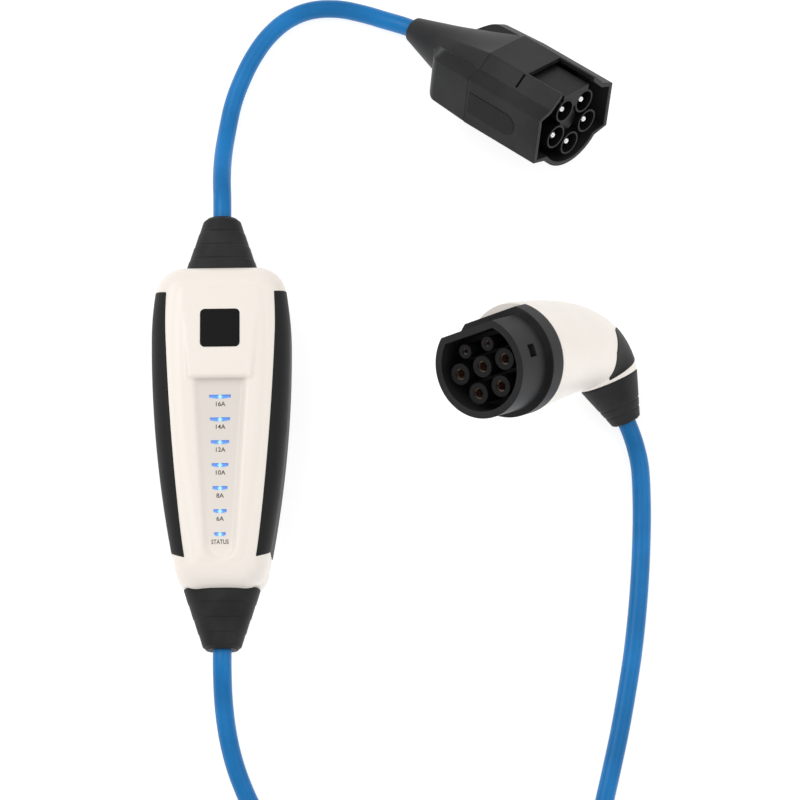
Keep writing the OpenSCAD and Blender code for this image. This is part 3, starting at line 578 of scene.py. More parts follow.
def settle(piece: bpy.types.Object, material: bpy.types.Material,
           nodes: Sequence[str] = ()) -> bpy.types.Object:
    """Dresses a piece and ties it to the frame.

    Args:
        piece: The object.
        material: Its finish.
        nodes: Solids that it stands for.

    Returns:
        The same object.
    """
    piece.data.materials.clear()
    piece.data.materials.append(material)
    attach(piece, ROOT)
    if nodes:
        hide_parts(*nodes)
    LOG.info("made %s", piece.name)
    return piece


def dress(finish: Palette, *nodes: str) -> None:
    """Gives solids of the frame their finish.

    Args:
        finish: The finish.
        nodes: Names of the solids.
    """
    for name in nodes:
        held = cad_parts[name].data.materials
        held.clear()
        held.append(finish.material())
        LOG.info("dressed %s", name)


def smooth_route(points: Array, spacing: float) -> Array:
    """Even points along a smooth curve through the given ones.

    A cubic runs through each four neighbours in turn (Catmull-Rom), and its fine points are then
    read off at equal steps of length.

    Args:
        points: Route points in millimetres.
        spacing: Wanted distance between the results.

    Returns:
        The even points, the first and last kept.
    """
    p = np.vstack([2 * points[0] - points[1], points, 2 * points[-1] - points[-2]])
    t = np.linspace(0, 1, 24, endpoint=False)[None, :, None]
    a, b, c, d = (p[k:len(p) - 3 + k][:, None, :] for k in range(4))
    fine = 0.5 * (2 * b + (c - a) * t + (2 * a - 5 * b + 4 * c - d) * t ** 2 + (3 * b - a - 3 * c + d) * t ** 3)
    fine = np.vstack([fine.reshape(-1, 3), points[-1]])
    run = np.concatenate([[0.0], np.cumsum(np.linalg.norm(np.diff(fine, axis=0), axis=1))])
    even = np.linspace(0, run[-1], max(2, int(round(run[-1] / spacing)) + 1))
    return np.stack([np.interp(even, run, fine[:, k]) for k in range(3)], axis=1)


# Control box


@dataclass
class ControlBox:
    """The box with its shells, grips, boots, lights and labels."""

    length: float = 212.0
    width: float = 89.0
    top_width: float = 78.0
    bottom_width: float = 53.0
    widest_y: float = 58.0
    top_corner: float = 19.0
    bottom_corner: float = 16.0
    height: float = 57.0
    parting: float = 29.0
    front_round: float = 15.0
    rear_round: float = 12.0
    rear_edge: float = 16.0
    crown: float = 1.0
    crown_inset: float = 20.0
    lip_inset: tuple[float, ...] = (0.55, 0.15, 0.0)
    lip_rise: tuple[float, ...] = (0.02, 0.3, 0.8)
    least_corner: float = 3.0
    front_wall: float = 2.0
    rear_wall: float = 3.0
    panel_foot: float = 29.0
    panel_half: float = 19.0
    panel_flare: float = 4.0
    panel_length: float = 54.0
    panel_rise: float = 1.8
    panel_fade: float = 0.2
    panel_edge: float = 3.4
    foot_steep: float = 4.0
    foot_round: tuple[float, float] = (-0.9, 0.6)
    channel_half: float = 13.5
    channel_end: float = 6.5
    channel_length: float = 115.0
    channel_depth: float = 2.4
    channel_slope: float = 5.5
    bar_pitch: float = 15.0
    bar_start: float = 12.0
    bar_width: float = 13.8
    bar_step: float = 1.1
    bar_height: float = 2.5
    bar_end: float = 1.7
    bar_proud: float = 0.3
    bar_bevel: float = 0.1
    bar_sink: float = 1.0
    bars: int = 7
    label_drop: float = 5.0
    label_height: float = 4.1
    label_room: float = 11.0
    ink: float = 0.02
    ink_spread: float = 0.05
    ink_lift: float = 0.04
    grip_length: float = 174.0
    grip_mid: float = 4.0
    grip_band: float = 11.0
    grip_proud: float = 0.45
    grip_sink: float = 1.1
    grip_round: float = 1.3
    grip_girth: float = 34.0
    grip_waist: float = 3.0
    grip_under: float = 0.6
    grip_flank: tuple[float, float] = (-0.4, 0.1)
    grip_slant: int = 12
    grip_head_cut: float = -3.5
    grip_foot_cut: float = -6.0
    grip_foot_back: float = 7.0
    boot_length: float = 37.0
    boot_half_w: float = 24.5
    boot_half_h: float = 17.0
    boot_tip: float = 11.5
    boot_steps: int = 4
    boot_taper: float = 0.9
    boot_square: float = 0.72
    boot_lip: float = 0.4
    boot_round: float = 1.6
    boot_sink: float = 1.5
    labels: tuple[str, ...] = ("16A", "14A", "12A", "10A", "8A", "6A", "STATUS")

    def side(self, y: Array) -> Array:
        """Half-width of the sides: a parabola each way from the widest place."""
        end = self.length / 2
        up = ((y - self.widest_y) / (end - self.widest_y)) ** 2 * (self.width - self.top_width) / 2
        down = ((self.widest_y - y) / (end + self.widest_y)) ** 2 * (self.width - self.bottom_width) / 2
        return self.width / 2 - np.where(y > self.widest_y, up, down)

    def channel_tip(self) -> float:
        """Where the channel's round end begins along Y."""
        return self.panel_foot - self.channel_length + self.channel_end

    def bar_place(self, number: int) -> tuple[float, float]:
        """Middle of one light bar along Y, counted from 0, and the height of the channel's floor."""
        return (self.panel_foot - self.bar_start - number * self.bar_pitch,
                self.height + self.crown - self.channel_depth)

    def right_plan(self, inset: Array) -> tuple[Array, Array]:
        """Right half of the plan outline at several insets: corner arc, side curve, corner arc.

        Args:
            inset: Insets as a column.

        Returns:
            Places along X and Y, one row for each inset.
        """
        end = self.length / 2
        rb = np.maximum(self.bottom_corner - inset, self.least_corner)
        rt = np.maximum(self.top_corner - inset, self.least_corner)
        yb, yt = rb + inset - end, end - inset - rt
        xb, xt = self.side(yb) - inset - rb, self.side(yt) - inset - rt
        low = np.radians(np.linspace(-90, -6, 22))[None, :]
        high = np.radians(np.linspace(6, 90, 22))[None, :]
        y = yb + (yt - yb) * (np.arange(1, 150) / 150.0)[None, :]
        x = self.side(y) - inset
        return (
            np.concatenate([xb + rb * np.cos(low), x, xt + rt * np.cos(high)], axis=1),
            np.concatenate([yb + rb * np.sin(low), y, yt + rt * np.sin(high)], axis=1),
        )

    def shell_grids(self, inset: Array, z: Array, columns: int = 91) -> tuple[Array, Array]:
        """Rings round the plan, and the patch that fills the last ring from side to side.

        Args:
            inset: Inset of each ring.
            z: Height of each ring.
            columns: Points across the patch.

        Returns:
            The rings and the patch.
        """
        x, y = self.right_plan(inset[:, None])
        u = np.linspace(1, -1, columns)
        edge = u[None, 1:-1]
        ring_x = np.concatenate([x, x[:, -1:] * edge, -x[:, ::-1], -x[:, :1] * edge], axis=1)
        top, low = np.repeat(y[:, -1:], columns - 2, axis=1), np.repeat(y[:, :1], columns - 2, axis=1)
        ring_y = np.concatenate([y, top, y[:, ::-1], low], axis=1)
        return xyz(ring_x, ring_y, z[:, None]), xyz(x[-1][:, None] * u[None, :], y[-1][:, None], z[-1])

    def relief(self, x: Array, y: Array) -> Array:
        """Height of the front face over its plain crown: the raised panel and the light channel.

        The channel falls with the distance outside its floor's outline, through a smooth step, and is
        cut off by a steep wall at the panel's foot. The panel falls away smoothly at its sides and
        slopes down to nothing at its head.

        Args:
            x: Places across.
            y: Places along.

        Returns:
            The height to add.
        """
        end = self.channel_tip()
        share = np.clip((self.panel_foot - y) / (self.panel_foot - end), 0, 1)
        half = self.channel_half + (self.channel_end - self.channel_half) * share
        out = np.where(y > end, np.abs(x) - half, np.hypot(x, y - end) - self.channel_end)
        out = np.maximum(out, (y - self.panel_foot) * self.foot_steep)
        channel = -self.channel_depth * (1 - ramp(0, self.channel_slope, out))
        along = np.clip((y - self.panel_foot) / self.panel_length, 0, 1.1)
        wide = self.panel_half + self.panel_flare * along
        rise = np.maximum(self.panel_rise - (self.panel_rise + self.panel_fade) * along, 0)
        edge = 1 - ramp(0, self.panel_edge, np.abs(x) - wide)
        return channel + rise * edge * ramp(*self.foot_round, y - self.panel_foot)

    def front_shell(self) -> bpy.types.Object:
        """Front shell: rings with a quarter-ellipse edge, then the crowned face with its relief."""
        edge_z = self.height - self.front_round
        a = np.radians(np.linspace(0, 90, 34))
        inset = np.concatenate([self.lip_inset, np.zeros(4), self.front_round * (1 - np.cos(a)),
                                np.linspace(self.front_round, self.crown_inset, 9)[1:]])
        climb = np.linspace(0, 1, 9)[1:]
        z = np.concatenate([self.parting + np.array(self.lip_rise), np.linspace(self.parting + 2, edge_z - 1, 4),
                            edge_z + self.front_round * np.sin(a), self.height + self.crown * climb * (2 - climb)])
        rings, patch = self.shell_grids(inset, z)
        for grid in (rings[-24:], patch):
            grid[..., 2] += self.relief(grid[..., 0], grid[..., 1])
        # the front shell's ivory, with painted shade in its channel and a painted shadow under the panel's foot
        painted_channel_shade = PaintedChannelShade("ivory_front_painted_shade", Palette.IVORY.value, self.panel_foot, self.channel_tip(),
                           (self.channel_half, self.channel_end), self.channel_slope)
        return Surface("front_shell").add(rings, True).add(patch).build(
            painted_channel_shade.make(), "ivory_shell", 50, self.front_wall)

    def rear_shell(self) -> bpy.types.Object:
        """Rear shell: rings down to the flat back."""
        a = np.radians(np.linspace(0, 90, 26))
        inset = np.concatenate([self.lip_inset, np.zeros(3), self.rear_round * (1 - np.cos(a))])
        z = np.concatenate([self.parting - np.array(self.lip_rise),
                            np.linspace(self.parting - 2, self.rear_edge + 1, 3), self.rear_edge * (1 - np.sin(a))])
        rings, patch = self.shell_grids(inset, z, 41)
        return Surface("rear_shell").add(rings, True).add(patch).build(
            Palette.IVORY.material(), "ivory_shell", 50, self.rear_wall)

    def grip(self, hand: int) -> bpy.types.Object:
        """One soft grip: the shell's own section lifted a little, sunk along its border.

        Args:
            hand: 1 for the right grip, -1 for the left one.

        Returns:
            The grip.
        """
        v = np.linspace(-1, 1, 140)[:, None]
        u = np.linspace(-1, 1, 90)[None, :]
        reach = self.grip_band - self.grip_waist * v ** 2
        front = np.arccos(1 - reach / self.front_round)
        back = np.arccos(1 - self.grip_under * reach / self.rear_round)
        low, high = self.grip_flank
        over, under = np.clip((u - high) / (1 - high), 0, 1), np.clip((low - u) / (1 + low), 0, 1)
        a, b = front * over, back * under
        flank = np.clip((u - low) / (high - low), 0, 1)
        head, foot = self.grip_head_cut * over, self.grip_foot_cut * over + self.grip_foot_back * under
        slant = np.where(v > 0, head, foot) * np.abs(v) ** self.grip_slant
        y = self.grip_mid + self.grip_length / 2 * v + slant
        edge_z = self.height - self.front_round
        border = np.minimum((1 - np.abs(v)) * self.grip_length / 2, (1 - np.abs(u)) * self.grip_girth)
        lift = self.grip_proud - self.grip_sink * (1 - ramp(0, self.grip_round, border))
        nx, nz = np.cos(a) * np.cos(b), np.sin(a) - np.sin(b)
        x = self.side(y) - self.front_round * (1 - np.cos(a)) - self.rear_round * (1 - np.cos(b)) + lift * nx
        flat_z = self.rear_edge + (edge_z - self.rear_edge) * flank
        z = flat_z + (self.height - edge_z) * np.sin(a) - self.rear_edge * np.sin(b) + lift * nz
        name = "right_grip" if hand > 0 else "left_grip"
        grid = xyz(hand * x, y, z)
        return Surface(name).add(grid, flip=hand < 0).build(Palette.GRIP.material(), "grip", 60, 1.0)

    def boot(self, hand: int) -> bpy.types.Object:
        """A cable boot: ovals whose size runs down in steps, each with a small rounded lip.

        Args:
            hand: 1 for the supply end, -1 for the outlet end.

        Returns:
            The boot.
        """
        t = np.linspace(0, 1, 161)
        stage = np.minimum(np.floor(t * self.boot_steps), self.boot_steps - 1)
        part = t * self.boot_steps - stage
        shrink = (stage + self.boot_taper * part) / self.boot_steps
        lip = self.boot_lip * ramp(0.88, 1.0, part) * (stage < self.boot_steps - 1)
        ending = self.boot_round * ramp(0.94, 1.0, t)
        half_w = self.boot_half_w + (self.boot_tip - self.boot_half_w) * shrink - lip - ending
        half_h = self.boot_half_h + (self.boot_tip - self.boot_half_h) * shrink - lip - ending
        y = self.length / 2 - self.boot_sink + (self.boot_length + self.boot_sink) * t
        power = (self.boot_square + (1 - self.boot_square) * t)[:, None]
        k = around(3.0)
        c, s = np.cos(k), np.sin(k)
        x = half_w[:, None] * np.sign(c) * np.abs(c) ** power
        z = self.parting - half_h[:, None] * np.sign(s) * np.abs(s) ** power
        grid = xyz(x, hand * y[:, None], z)
        name = "supply_boot" if hand > 0 else "outlet_boot"
        return Surface(name).tube(grid).build(Palette.BOOT.material(), "boot", 38)

    def lens(self, number: int) -> bpy.types.Object:
        """One light bar: a flat head, short ends and a curved foot, standing a little proud of the channel.

        Args:
            number: Which bar, from 0.

        Returns:
            The bar.
        """
        half, h = (self.bar_width - number * self.bar_step) / 2, self.bar_height / 2
        y, z = self.bar_place(number)
        u = np.linspace(-1, 1, 33)
        low = -h + (self.bar_height - self.bar_end) * u ** 2
        px = np.concatenate([half * u, half * u[::-1]])
        py = np.concatenate([low, np.full_like(u, h)])
        steps = ((0.0, -self.bar_sink), (0.0, self.bar_proud - self.bar_bevel), (self.bar_bevel, self.bar_proud))
        grid = np.stack([xyz(px * (1 - k / half), y + py * (1 - k / h), z + rise) for k, rise in steps])
        name = "light_bar_%d" % (number + 1)
        finish = LightLens("light_lens_%d" % (number + 1), half, h, y).make()
        return Surface(name, "_lens").tube(grid).build(finish, "light", 50)

    def label(self, number: int) -> bpy.types.Object:
        """The printed words under one light bar.

        Args:
            number: Which bar, from 0.

        Returns:
            The label as a thin mesh on the channel's floor.
        """
        name = "label_%d" % (number + 1)
        curve = bpy.data.curves.new(name, "FONT")
        curve.body, curve.align_x, curve.align_y = self.labels[number], "CENTER", "CENTER"
        curve.size, curve.extrude, curve.offset = self.label_height * MM, self.ink * MM, self.ink_spread * MM
        draft = link(name + "_draft", curve)
        mesh = bpy.data.meshes.new_from_object(draft.evaluated_get(bpy.context.evaluated_depsgraph_get()))
        bpy.data.objects.remove(draft)
        bpy.data.curves.remove(curve)
        y, z = self.bar_place(number)
        reach = max(abs(v.co.x) for v in mesh.vertices) * 2
        narrow = Matrix.Diagonal((min(1.0, self.label_room * MM / reach), 1, 1, 1))
        place = Matrix.Translation((0, (y - self.label_drop) * MM, (z + self.ink_lift) * MM))
        mesh.transform(place @ narrow)
        mesh.name = name
        return settle(link(name, mesh), Palette.INK.material())

    def build(self) -> None:
        """Makes and dresses the whole box."""
        self.front_shell()
        self.rear_shell()
        for hand in (1, -1):
            self.grip(hand)
            self.boot(hand)
        for i in range(self.bars):
            self.label(i)
            self.lens(i)
        dress(Palette.GLOSS, "badge")
        dress(Palette.SEAL, "housing_seal")
        dress(Palette.SCREW, "housing_screws")
        dress(Palette.BOARD, "light_board", "main_board")
        dress(Palette.RELAY, *["relay_%d" % i for i in range(1, 5)])
        dress(Palette.SENSOR, "current_sensor")
        dress(Palette.TERMINAL, "supply_terminals", "outlet_terminals", "supply_clamp", "outlet_clamp")
        dress(Palette.TRANSFORMER, "control_transformer")


# Supply plug


@dataclass
class SupplyPlug:
    """The five-pin plug, lying on a wing's rear corner and its cable."""

    tail: tuple[float, float, float] = (128.0, 281.0, 10.9)
    azimuth: float = -40.0
    roll: float = -32.0
    hood_length: float = 62.0
    cover_length: float = 82.0
    hood_radius: float = 31.0
    end_radius: float = 8.5
    floor_gap: float = 0.1
    wing_end: float = 0.4
    wing_fall: float = 0.12
    wing_from: float = 0.37
    wing_to: float = 0.64
    wing_left: float = 0.42
    wing_stop: float = 0.62
    core_turn: float = 1.6
    seam: float = 0.1
    cover_lips: tuple[float, float] = (0.5, 0.8)
    wing: tuple[float, float] = (36.0, 16.5)
    shoulder: tuple[float, float] = (26.0, 20.5)
    plateau: tuple[float, float] = (17.0, 29.0)
    keel: tuple[float, float] = (23.0, 19.5)
    pins: int = 5
    pin_circle: float = 15.9
    pin_radius: float = 2.5
    pin_base: float = -48.9
    pin_tip: float = -2.4

    def lean(self) -> float:
        """Tilt at which the wing's rear corner lies on the floor, in radians."""
        r = math.radians(self.roll)
        drop = self.wing[0] * math.sin(-r) + self.wing[1] * math.cos(r)
        low, span = drop * (1 - self.wing_fall * self.wing_end), self.cover_length * (1 - self.wing_end)
        return math.acos((self.tail[2] - self.floor_gap) / math.hypot(low, span)) - math.atan2(span, low)

    def matrix(self) -> Matrix:
        """Turns the plug's own frame, X out of its face, into the charger's frame."""
        return (Matrix.Translation(self.tail) @ Matrix.Rotation(math.radians(self.azimuth), 4, "Z")
                @ Matrix.Rotation(-self.lean(), 4, "Y") @ Matrix.Rotation(math.radians(self.roll), 4, "X")
                @ Matrix.Translation((self.hood_length + self.cover_length, 0, 0)))

    def direction(self) -> Array:
        """Unit vector out of the plug's face."""
        return np.array(self.matrix().to_3x3() @ Vector((1, 0, 0)))

    def world(self, local: Array) -> Array:
        """Turns points of the plug's own frame into the charger's frame."""
        m = np.array(self.matrix())
        return local @ m[:3, :3].T + m[:3, 3]

    @staticmethod
    def line_ray(e: Array, p: tuple[float, float], q: tuple[float, float]) -> Array:
        """Distance from the axis to the line through two points, at elevation e in radians."""
        return np.abs((p[0] * q[1] - p[1] * q[0]) / (np.cos(e) * (q[1] - p[1]) - np.sin(e) * (q[0] - p[0])))

    def section(self, angle: Array, k: Array) -> Array:
        """Radius of the rear cover.

        The wings' straight outline and the core's outline are compared, and the further one counts.
        The core turns from the hood's section into a circle along the cover, and the wings shrink away.

        Args:
            angle: Angles round the axis in radians, as a row.
            k: Places along the cover from the hood, 0, to the cable, 1, as a column.

        Returns:
            The radii.
        """
        up = angle < math.pi
        turn = np.where(up, angle, angle - math.pi)
        e = math.pi / 2 - np.abs(math.pi / 2 - turn)
        rise = [math.atan2(p[1], p[0]) for p in (self.wing, self.shoulder, self.plateau, self.keel)]
        slope = np.where(up, self.line_ray(e, self.wing, self.shoulder), self.line_ray(e, self.wing, self.keel))
        wing = np.where(e < rise[0], self.wing[0] / np.cos(e), slope)
        facet = np.where(e < rise[2], self.line_ray(e, self.shoulder, self.plateau),
                         self.plateau[1] / np.maximum(np.sin(e), 0.1))
        core = np.where(~up | (e < rise[1]), self.hood_radius, facet)
        circle = self.hood_radius + (self.end_radius - self.hood_radius) * k
        blend = np.minimum(1.0, self.core_turn * k)
        core = core * circle / self.hood_radius * (1 - blend) + circle * blend
        rest = 1 - self.wing_fall * self.wing_end
        fall = rest + (self.wing_left - rest) * ramp(self.wing_from, self.wing_to, k)
        shrink = np.where(k < self.wing_from, 1 - self.wing_fall * k, fall)
        inside = (e <= np.where(up, rise[1], rise[3])) & (k <= self.wing_stop)
        return np.where(inside, np.maximum(core, wing * shrink), core)

    def cover(self) -> bpy.types.Object:
        """The rear cover, from the seam with the hood to its round end at the cable."""
        k = np.concatenate([[0.0, 0.004], np.linspace(0.01, 0.985, 110), [0.993, 1.0]])[:, None]
        angle = around(1.25)
        r = self.section(angle, k)
        r[0] -= self.cover_lips[0]
        r[-1] -= self.cover_lips[1]
        x = -self.hood_length - self.seam - k * (self.cover_length - self.seam)
        grid = self.world(xyz(x, r * np.cos(angle), r * np.sin(angle)))
        return Surface("plug_cover").tube(grid[::-1]).build(Palette.BLACK_HOUSING.material(), "plug_black", 24)

    def pin(self, number: int) -> bpy.types.Object:
        """One contact pin: a turned rod with a round tip.

        Args:
            number: Which pin, from 0.

        Returns:
            The pin.
        """
        r, turn = self.pin_radius, math.radians((number + 0.5) * 360 / self.pins)
        a = np.radians(np.linspace(0, 88, 16))
        along = np.concatenate([[self.pin_base], np.linspace(self.pin_base + 0.2, self.pin_tip - r - 0.2, 8),
                                self.pin_tip - r + r * np.sin(a)])[:, None]
        wide = np.concatenate([np.full(9, r), r * np.cos(a)])[:, None]
        k = around(10.0)
        y, z = self.pin_circle * math.sin(turn), self.pin_circle * math.cos(turn)
        grid = self.world(xyz(along, y + wide * np.cos(k), z + wide * np.sin(k)))
        name = "plug_pin_%d" % (number + 1)
        return Surface(name).tube(grid).build(Palette.STEEL.material(), "pin_steel", 40)

    def build(self) -> list[bpy.types.Object]:
        """Makes and dresses the plug.

        Returns:
            Every piece that hangs on the supply cable.
        """
        cover = self.cover()
        pins = [self.pin(i) for i in range(self.pins)]
        dress(Palette.BLACK_HOUSING, "plug_hood")
        dress(Palette.BLACK_INSERT, "plug_insert", "plug_sleeves")
        dress(Palette.PAD, "plug_left_pad", "plug_right_pad")
        names = ["plug_hood", "plug_insert", "plug_sleeves", "plug_left_pad", "plug_right_pad"]
        return [cover, *pins] + [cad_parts[n] for n in names]


# Vehicle connector


@dataclass
class VehicleConnector:
    """The bent connector, lying on its handle's boot."""

    elbow: tuple[float, float] = (240.0, 60.0)
    azimuth: float = -66.0
    roll: float = 41.0
    bend: float = 80.0
    reach: float = 136.0
    nose_length: float = 30.0
    collar_length: float = 12.0
    collar_radius: float = 36.0
    handle_length: float = 30.0
    handle_boot: float = 30.0
    handle_radius: float = 20.0
    handle_end: float = 9.5
    bend_in: float = 36.0
    bend_out: float = 1.0
    seat: float = 0.1
    collar_step: float = 0.6
    taper: float = 1.1
    pad_angles: tuple[float, float] = (8.0, 50.0)
    pad_start: float = 0.62
    pad_length: float = 0.345
    pad_proud: float = 0.35
    pad_sink: float = 1.2
    groove_places: tuple[float, float] = (0.58, 0.76)
    groove_width: float = 0.018
    groove_depth: float = 0.45

    def dip(self) -> float:
        """Slope of the handle at which its boot lies on the floor, in radians."""
        return math.atan((self.handle_radius - self.handle_end) / self.handle_boot)

    def handle_direction(self) -> Array:
        """Unit vector along the handle, towards the cable."""
        a, d = math.radians(self.azimuth), self.dip()
        return np.array([math.cos(d) * math.cos(a), math.cos(d) * math.sin(a), -math.sin(d)])

    def axes(self) -> Array:
        """Columns of the connector's own X (out of its face), Y and Z (to the nose's flat)."""
        a, d = math.radians(self.azimuth), self.dip()
        r, b = math.radians(self.roll), math.radians(self.bend)
        up = np.array([math.sin(d) * math.cos(a), math.sin(d) * math.sin(a), math.cos(d)])
        lift = math.cos(r) * up + math.sin(r) * np.array([math.sin(a), -math.cos(a), 0.0])
        out = -math.cos(b) * self.handle_direction() + math.sin(b) * lift
        top = -(math.sin(b) * self.handle_direction() + math.cos(b) * lift)
        return np.stack([out, np.cross(top, out), top], axis=1)

    def origin(self) -> Array:
        """Place of the bend."""
        d = self.dip()
        z = (self.handle_length + self.seat) * math.sin(d) + self.handle_radius * math.cos(d) + self.seat
        return np.array([*self.elbow, z])

    def boot_tip(self) -> Array:
        """Where the cable meets the handle's boot."""
        return self.origin() + (self.handle_length + self.seat + self.handle_boot) * self.handle_direction()

    def world(self, local: Array) -> Array:
        """Turns points of the connector's own frame into the charger's frame."""
        return local @ self.axes().T + self.origin()

    def handle_line(self) -> Array:
        """The handle's direction in the connector's own frame."""
        b = math.radians(self.bend)
        return np.array([-math.cos(b), 0.0, -math.sin(b)])

    def shell_points(self, t: Array, angle: Array, lift: Array | float = 0.0) -> Array:
        """Points of the bent shell.

        The middle follows a cubic from the collar round the bend to the boot, and a circle is carried
        along it, whose radius falls from the collar's to the handle's as a power of the distance.

        Args:
            t: Places along the shell, 0 at the collar and 1 at the boot.
            angle: Angles round the section in radians.
            lift: Distance out of the shell's skin.

        Returns:
            Points in the charger's frame.
        """
        t, angle, lift = np.broadcast_arrays(t, angle, lift)
        start = self.reach - self.nose_length - self.collar_length
        p = [np.array([start, 0, 0.0]), np.array([self.bend_in, 0, 0]), self.bend_out * self.handle_line(),
             self.handle_length * self.handle_line()]
        s = t[..., None]
        middle = (1 - s) ** 3 * p[0] + 3 * s * (1 - s) ** 2 * p[1] + 3 * s ** 2 * (1 - s) * p[2] + s ** 3 * p[3]
        run = 3 * (1 - s) ** 2 * (p[1] - p[0]) + 6 * s * (1 - s) * (p[2] - p[1]) + 3 * s ** 2 * (p[3] - p[2])
        run /= np.linalg.norm(run, axis=-1, keepdims=True)
        wide = np.array([0.0, 1.0, 0.0])
        high = np.cross(run, np.broadcast_to(wide, run.shape))
        big = self.collar_radius - self.collar_step
        r = big + (self.handle_radius - big) * t ** self.taper + lift
        return self.world(middle + r[..., None] * (np.cos(angle)[..., None] * wide + np.sin(angle)[..., None] * high))

    def shell(self) -> bpy.types.Object:
        """The off-white shell, with a small lip where it meets the collar and the boot."""
        t = np.linspace(0, 1, 120)[:, None]
        angle = around(2.0)
        lip = -0.7 * (1 - ramp(0, 0.018, t)) - 0.5 * ramp(0.985, 1.0, t)
        grid = self.shell_points(t, angle, lip)
        # the lighter ivory copy is painted light for the sideways-facing shell
        return Surface("connector_shell").tube(grid).build(Palette.IVORY_HANDLE.material(), "ivory_shell", 50)

    def pad(self, hand: int) -> bpy.types.Object:
        """A teardrop pad on the handle's side, sunk along its border.

        Args:
            hand: 1 for the right side, -1 for the left one.

        Returns:
            The pad.
        """
        k = np.linspace(0, 1, 70)[:, None]
        j = np.linspace(-1, 1, 60)[None, :]
        narrow, wide = self.pad_angles
        half = narrow + wide * np.sin(np.pi / 2 * np.minimum(1, k * 1.15 + 0.04)) ** 0.8
        t = self.pad_start + self.pad_length * k
        border = np.minimum(np.minimum(k, 1 - k) * 14.0, (1 - np.abs(j)) * half * 0.38)
        lift = self.pad_proud - self.pad_sink * (1 - ramp(0, 1.0, border))
        middle = 0.0 if hand > 0 else math.pi
        grid = self.shell_points(t + 0 * j, middle + np.radians(half * j), lift)
        name = "connector_right_pad" if hand > 0 else "connector_left_pad"
        return Surface(name).add(grid, flip=True).build(Palette.PAD.material(), "pad", 60, 0.8)

    def boot(self) -> bpy.types.Object:
        """The handle's boot: a cone with a rounded base, two shallow grooves and a rounded end."""
        s = np.linspace(0, 1, 110)
        r = self.handle_radius + (self.handle_end - self.handle_radius) * s
        r = r - 0.8 * (1 - ramp(0, 0.04, s)) - 1.2 * ramp(0.965, 1.0, s)
        for place in self.groove_places:
            r = r - self.groove_depth * np.exp(-((s - place) / self.groove_width) ** 2)
        line = self.handle_line()
        high = np.cross(line, [0.0, 1.0, 0.0])
        a = around(2.5)[..., None]
        along = (self.handle_length + self.seat + self.handle_boot * s)[:, None, None] * line
        grid = self.world(along + r[:, None, None] * (np.cos(a) * np.array([0.0, 1.0, 0.0]) + np.sin(a) * high))
        return Surface("connector_boot").tube(grid).build(Palette.BOOT.material(), "boot", 45)

    def build(self) -> list[bpy.types.Object]:
        """Makes and dresses the connector.

        Returns:
            Every piece that hangs on the charging cable.
        """
        made = [self.shell(), self.pad(1), self.pad(-1), self.boot()]
        sockets = ["power_socket_%d" % i for i in range(1, 6)] + ["pilot_socket_1", "pilot_socket_2"]
        dress(Palette.BLACK_HOUSING, "connector_nose")
        dress(Palette.BLACK_INSERT, "connector_insert")
        dress(Palette.COPPER, *sockets)
        return made + [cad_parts[n] for n in ["connector_nose", "connector_insert", *sockets]]


# Leads


class Lay(Enum):
    """How a lead is put down."""

    LOOSE = "loose"
    COILED = "coiled"


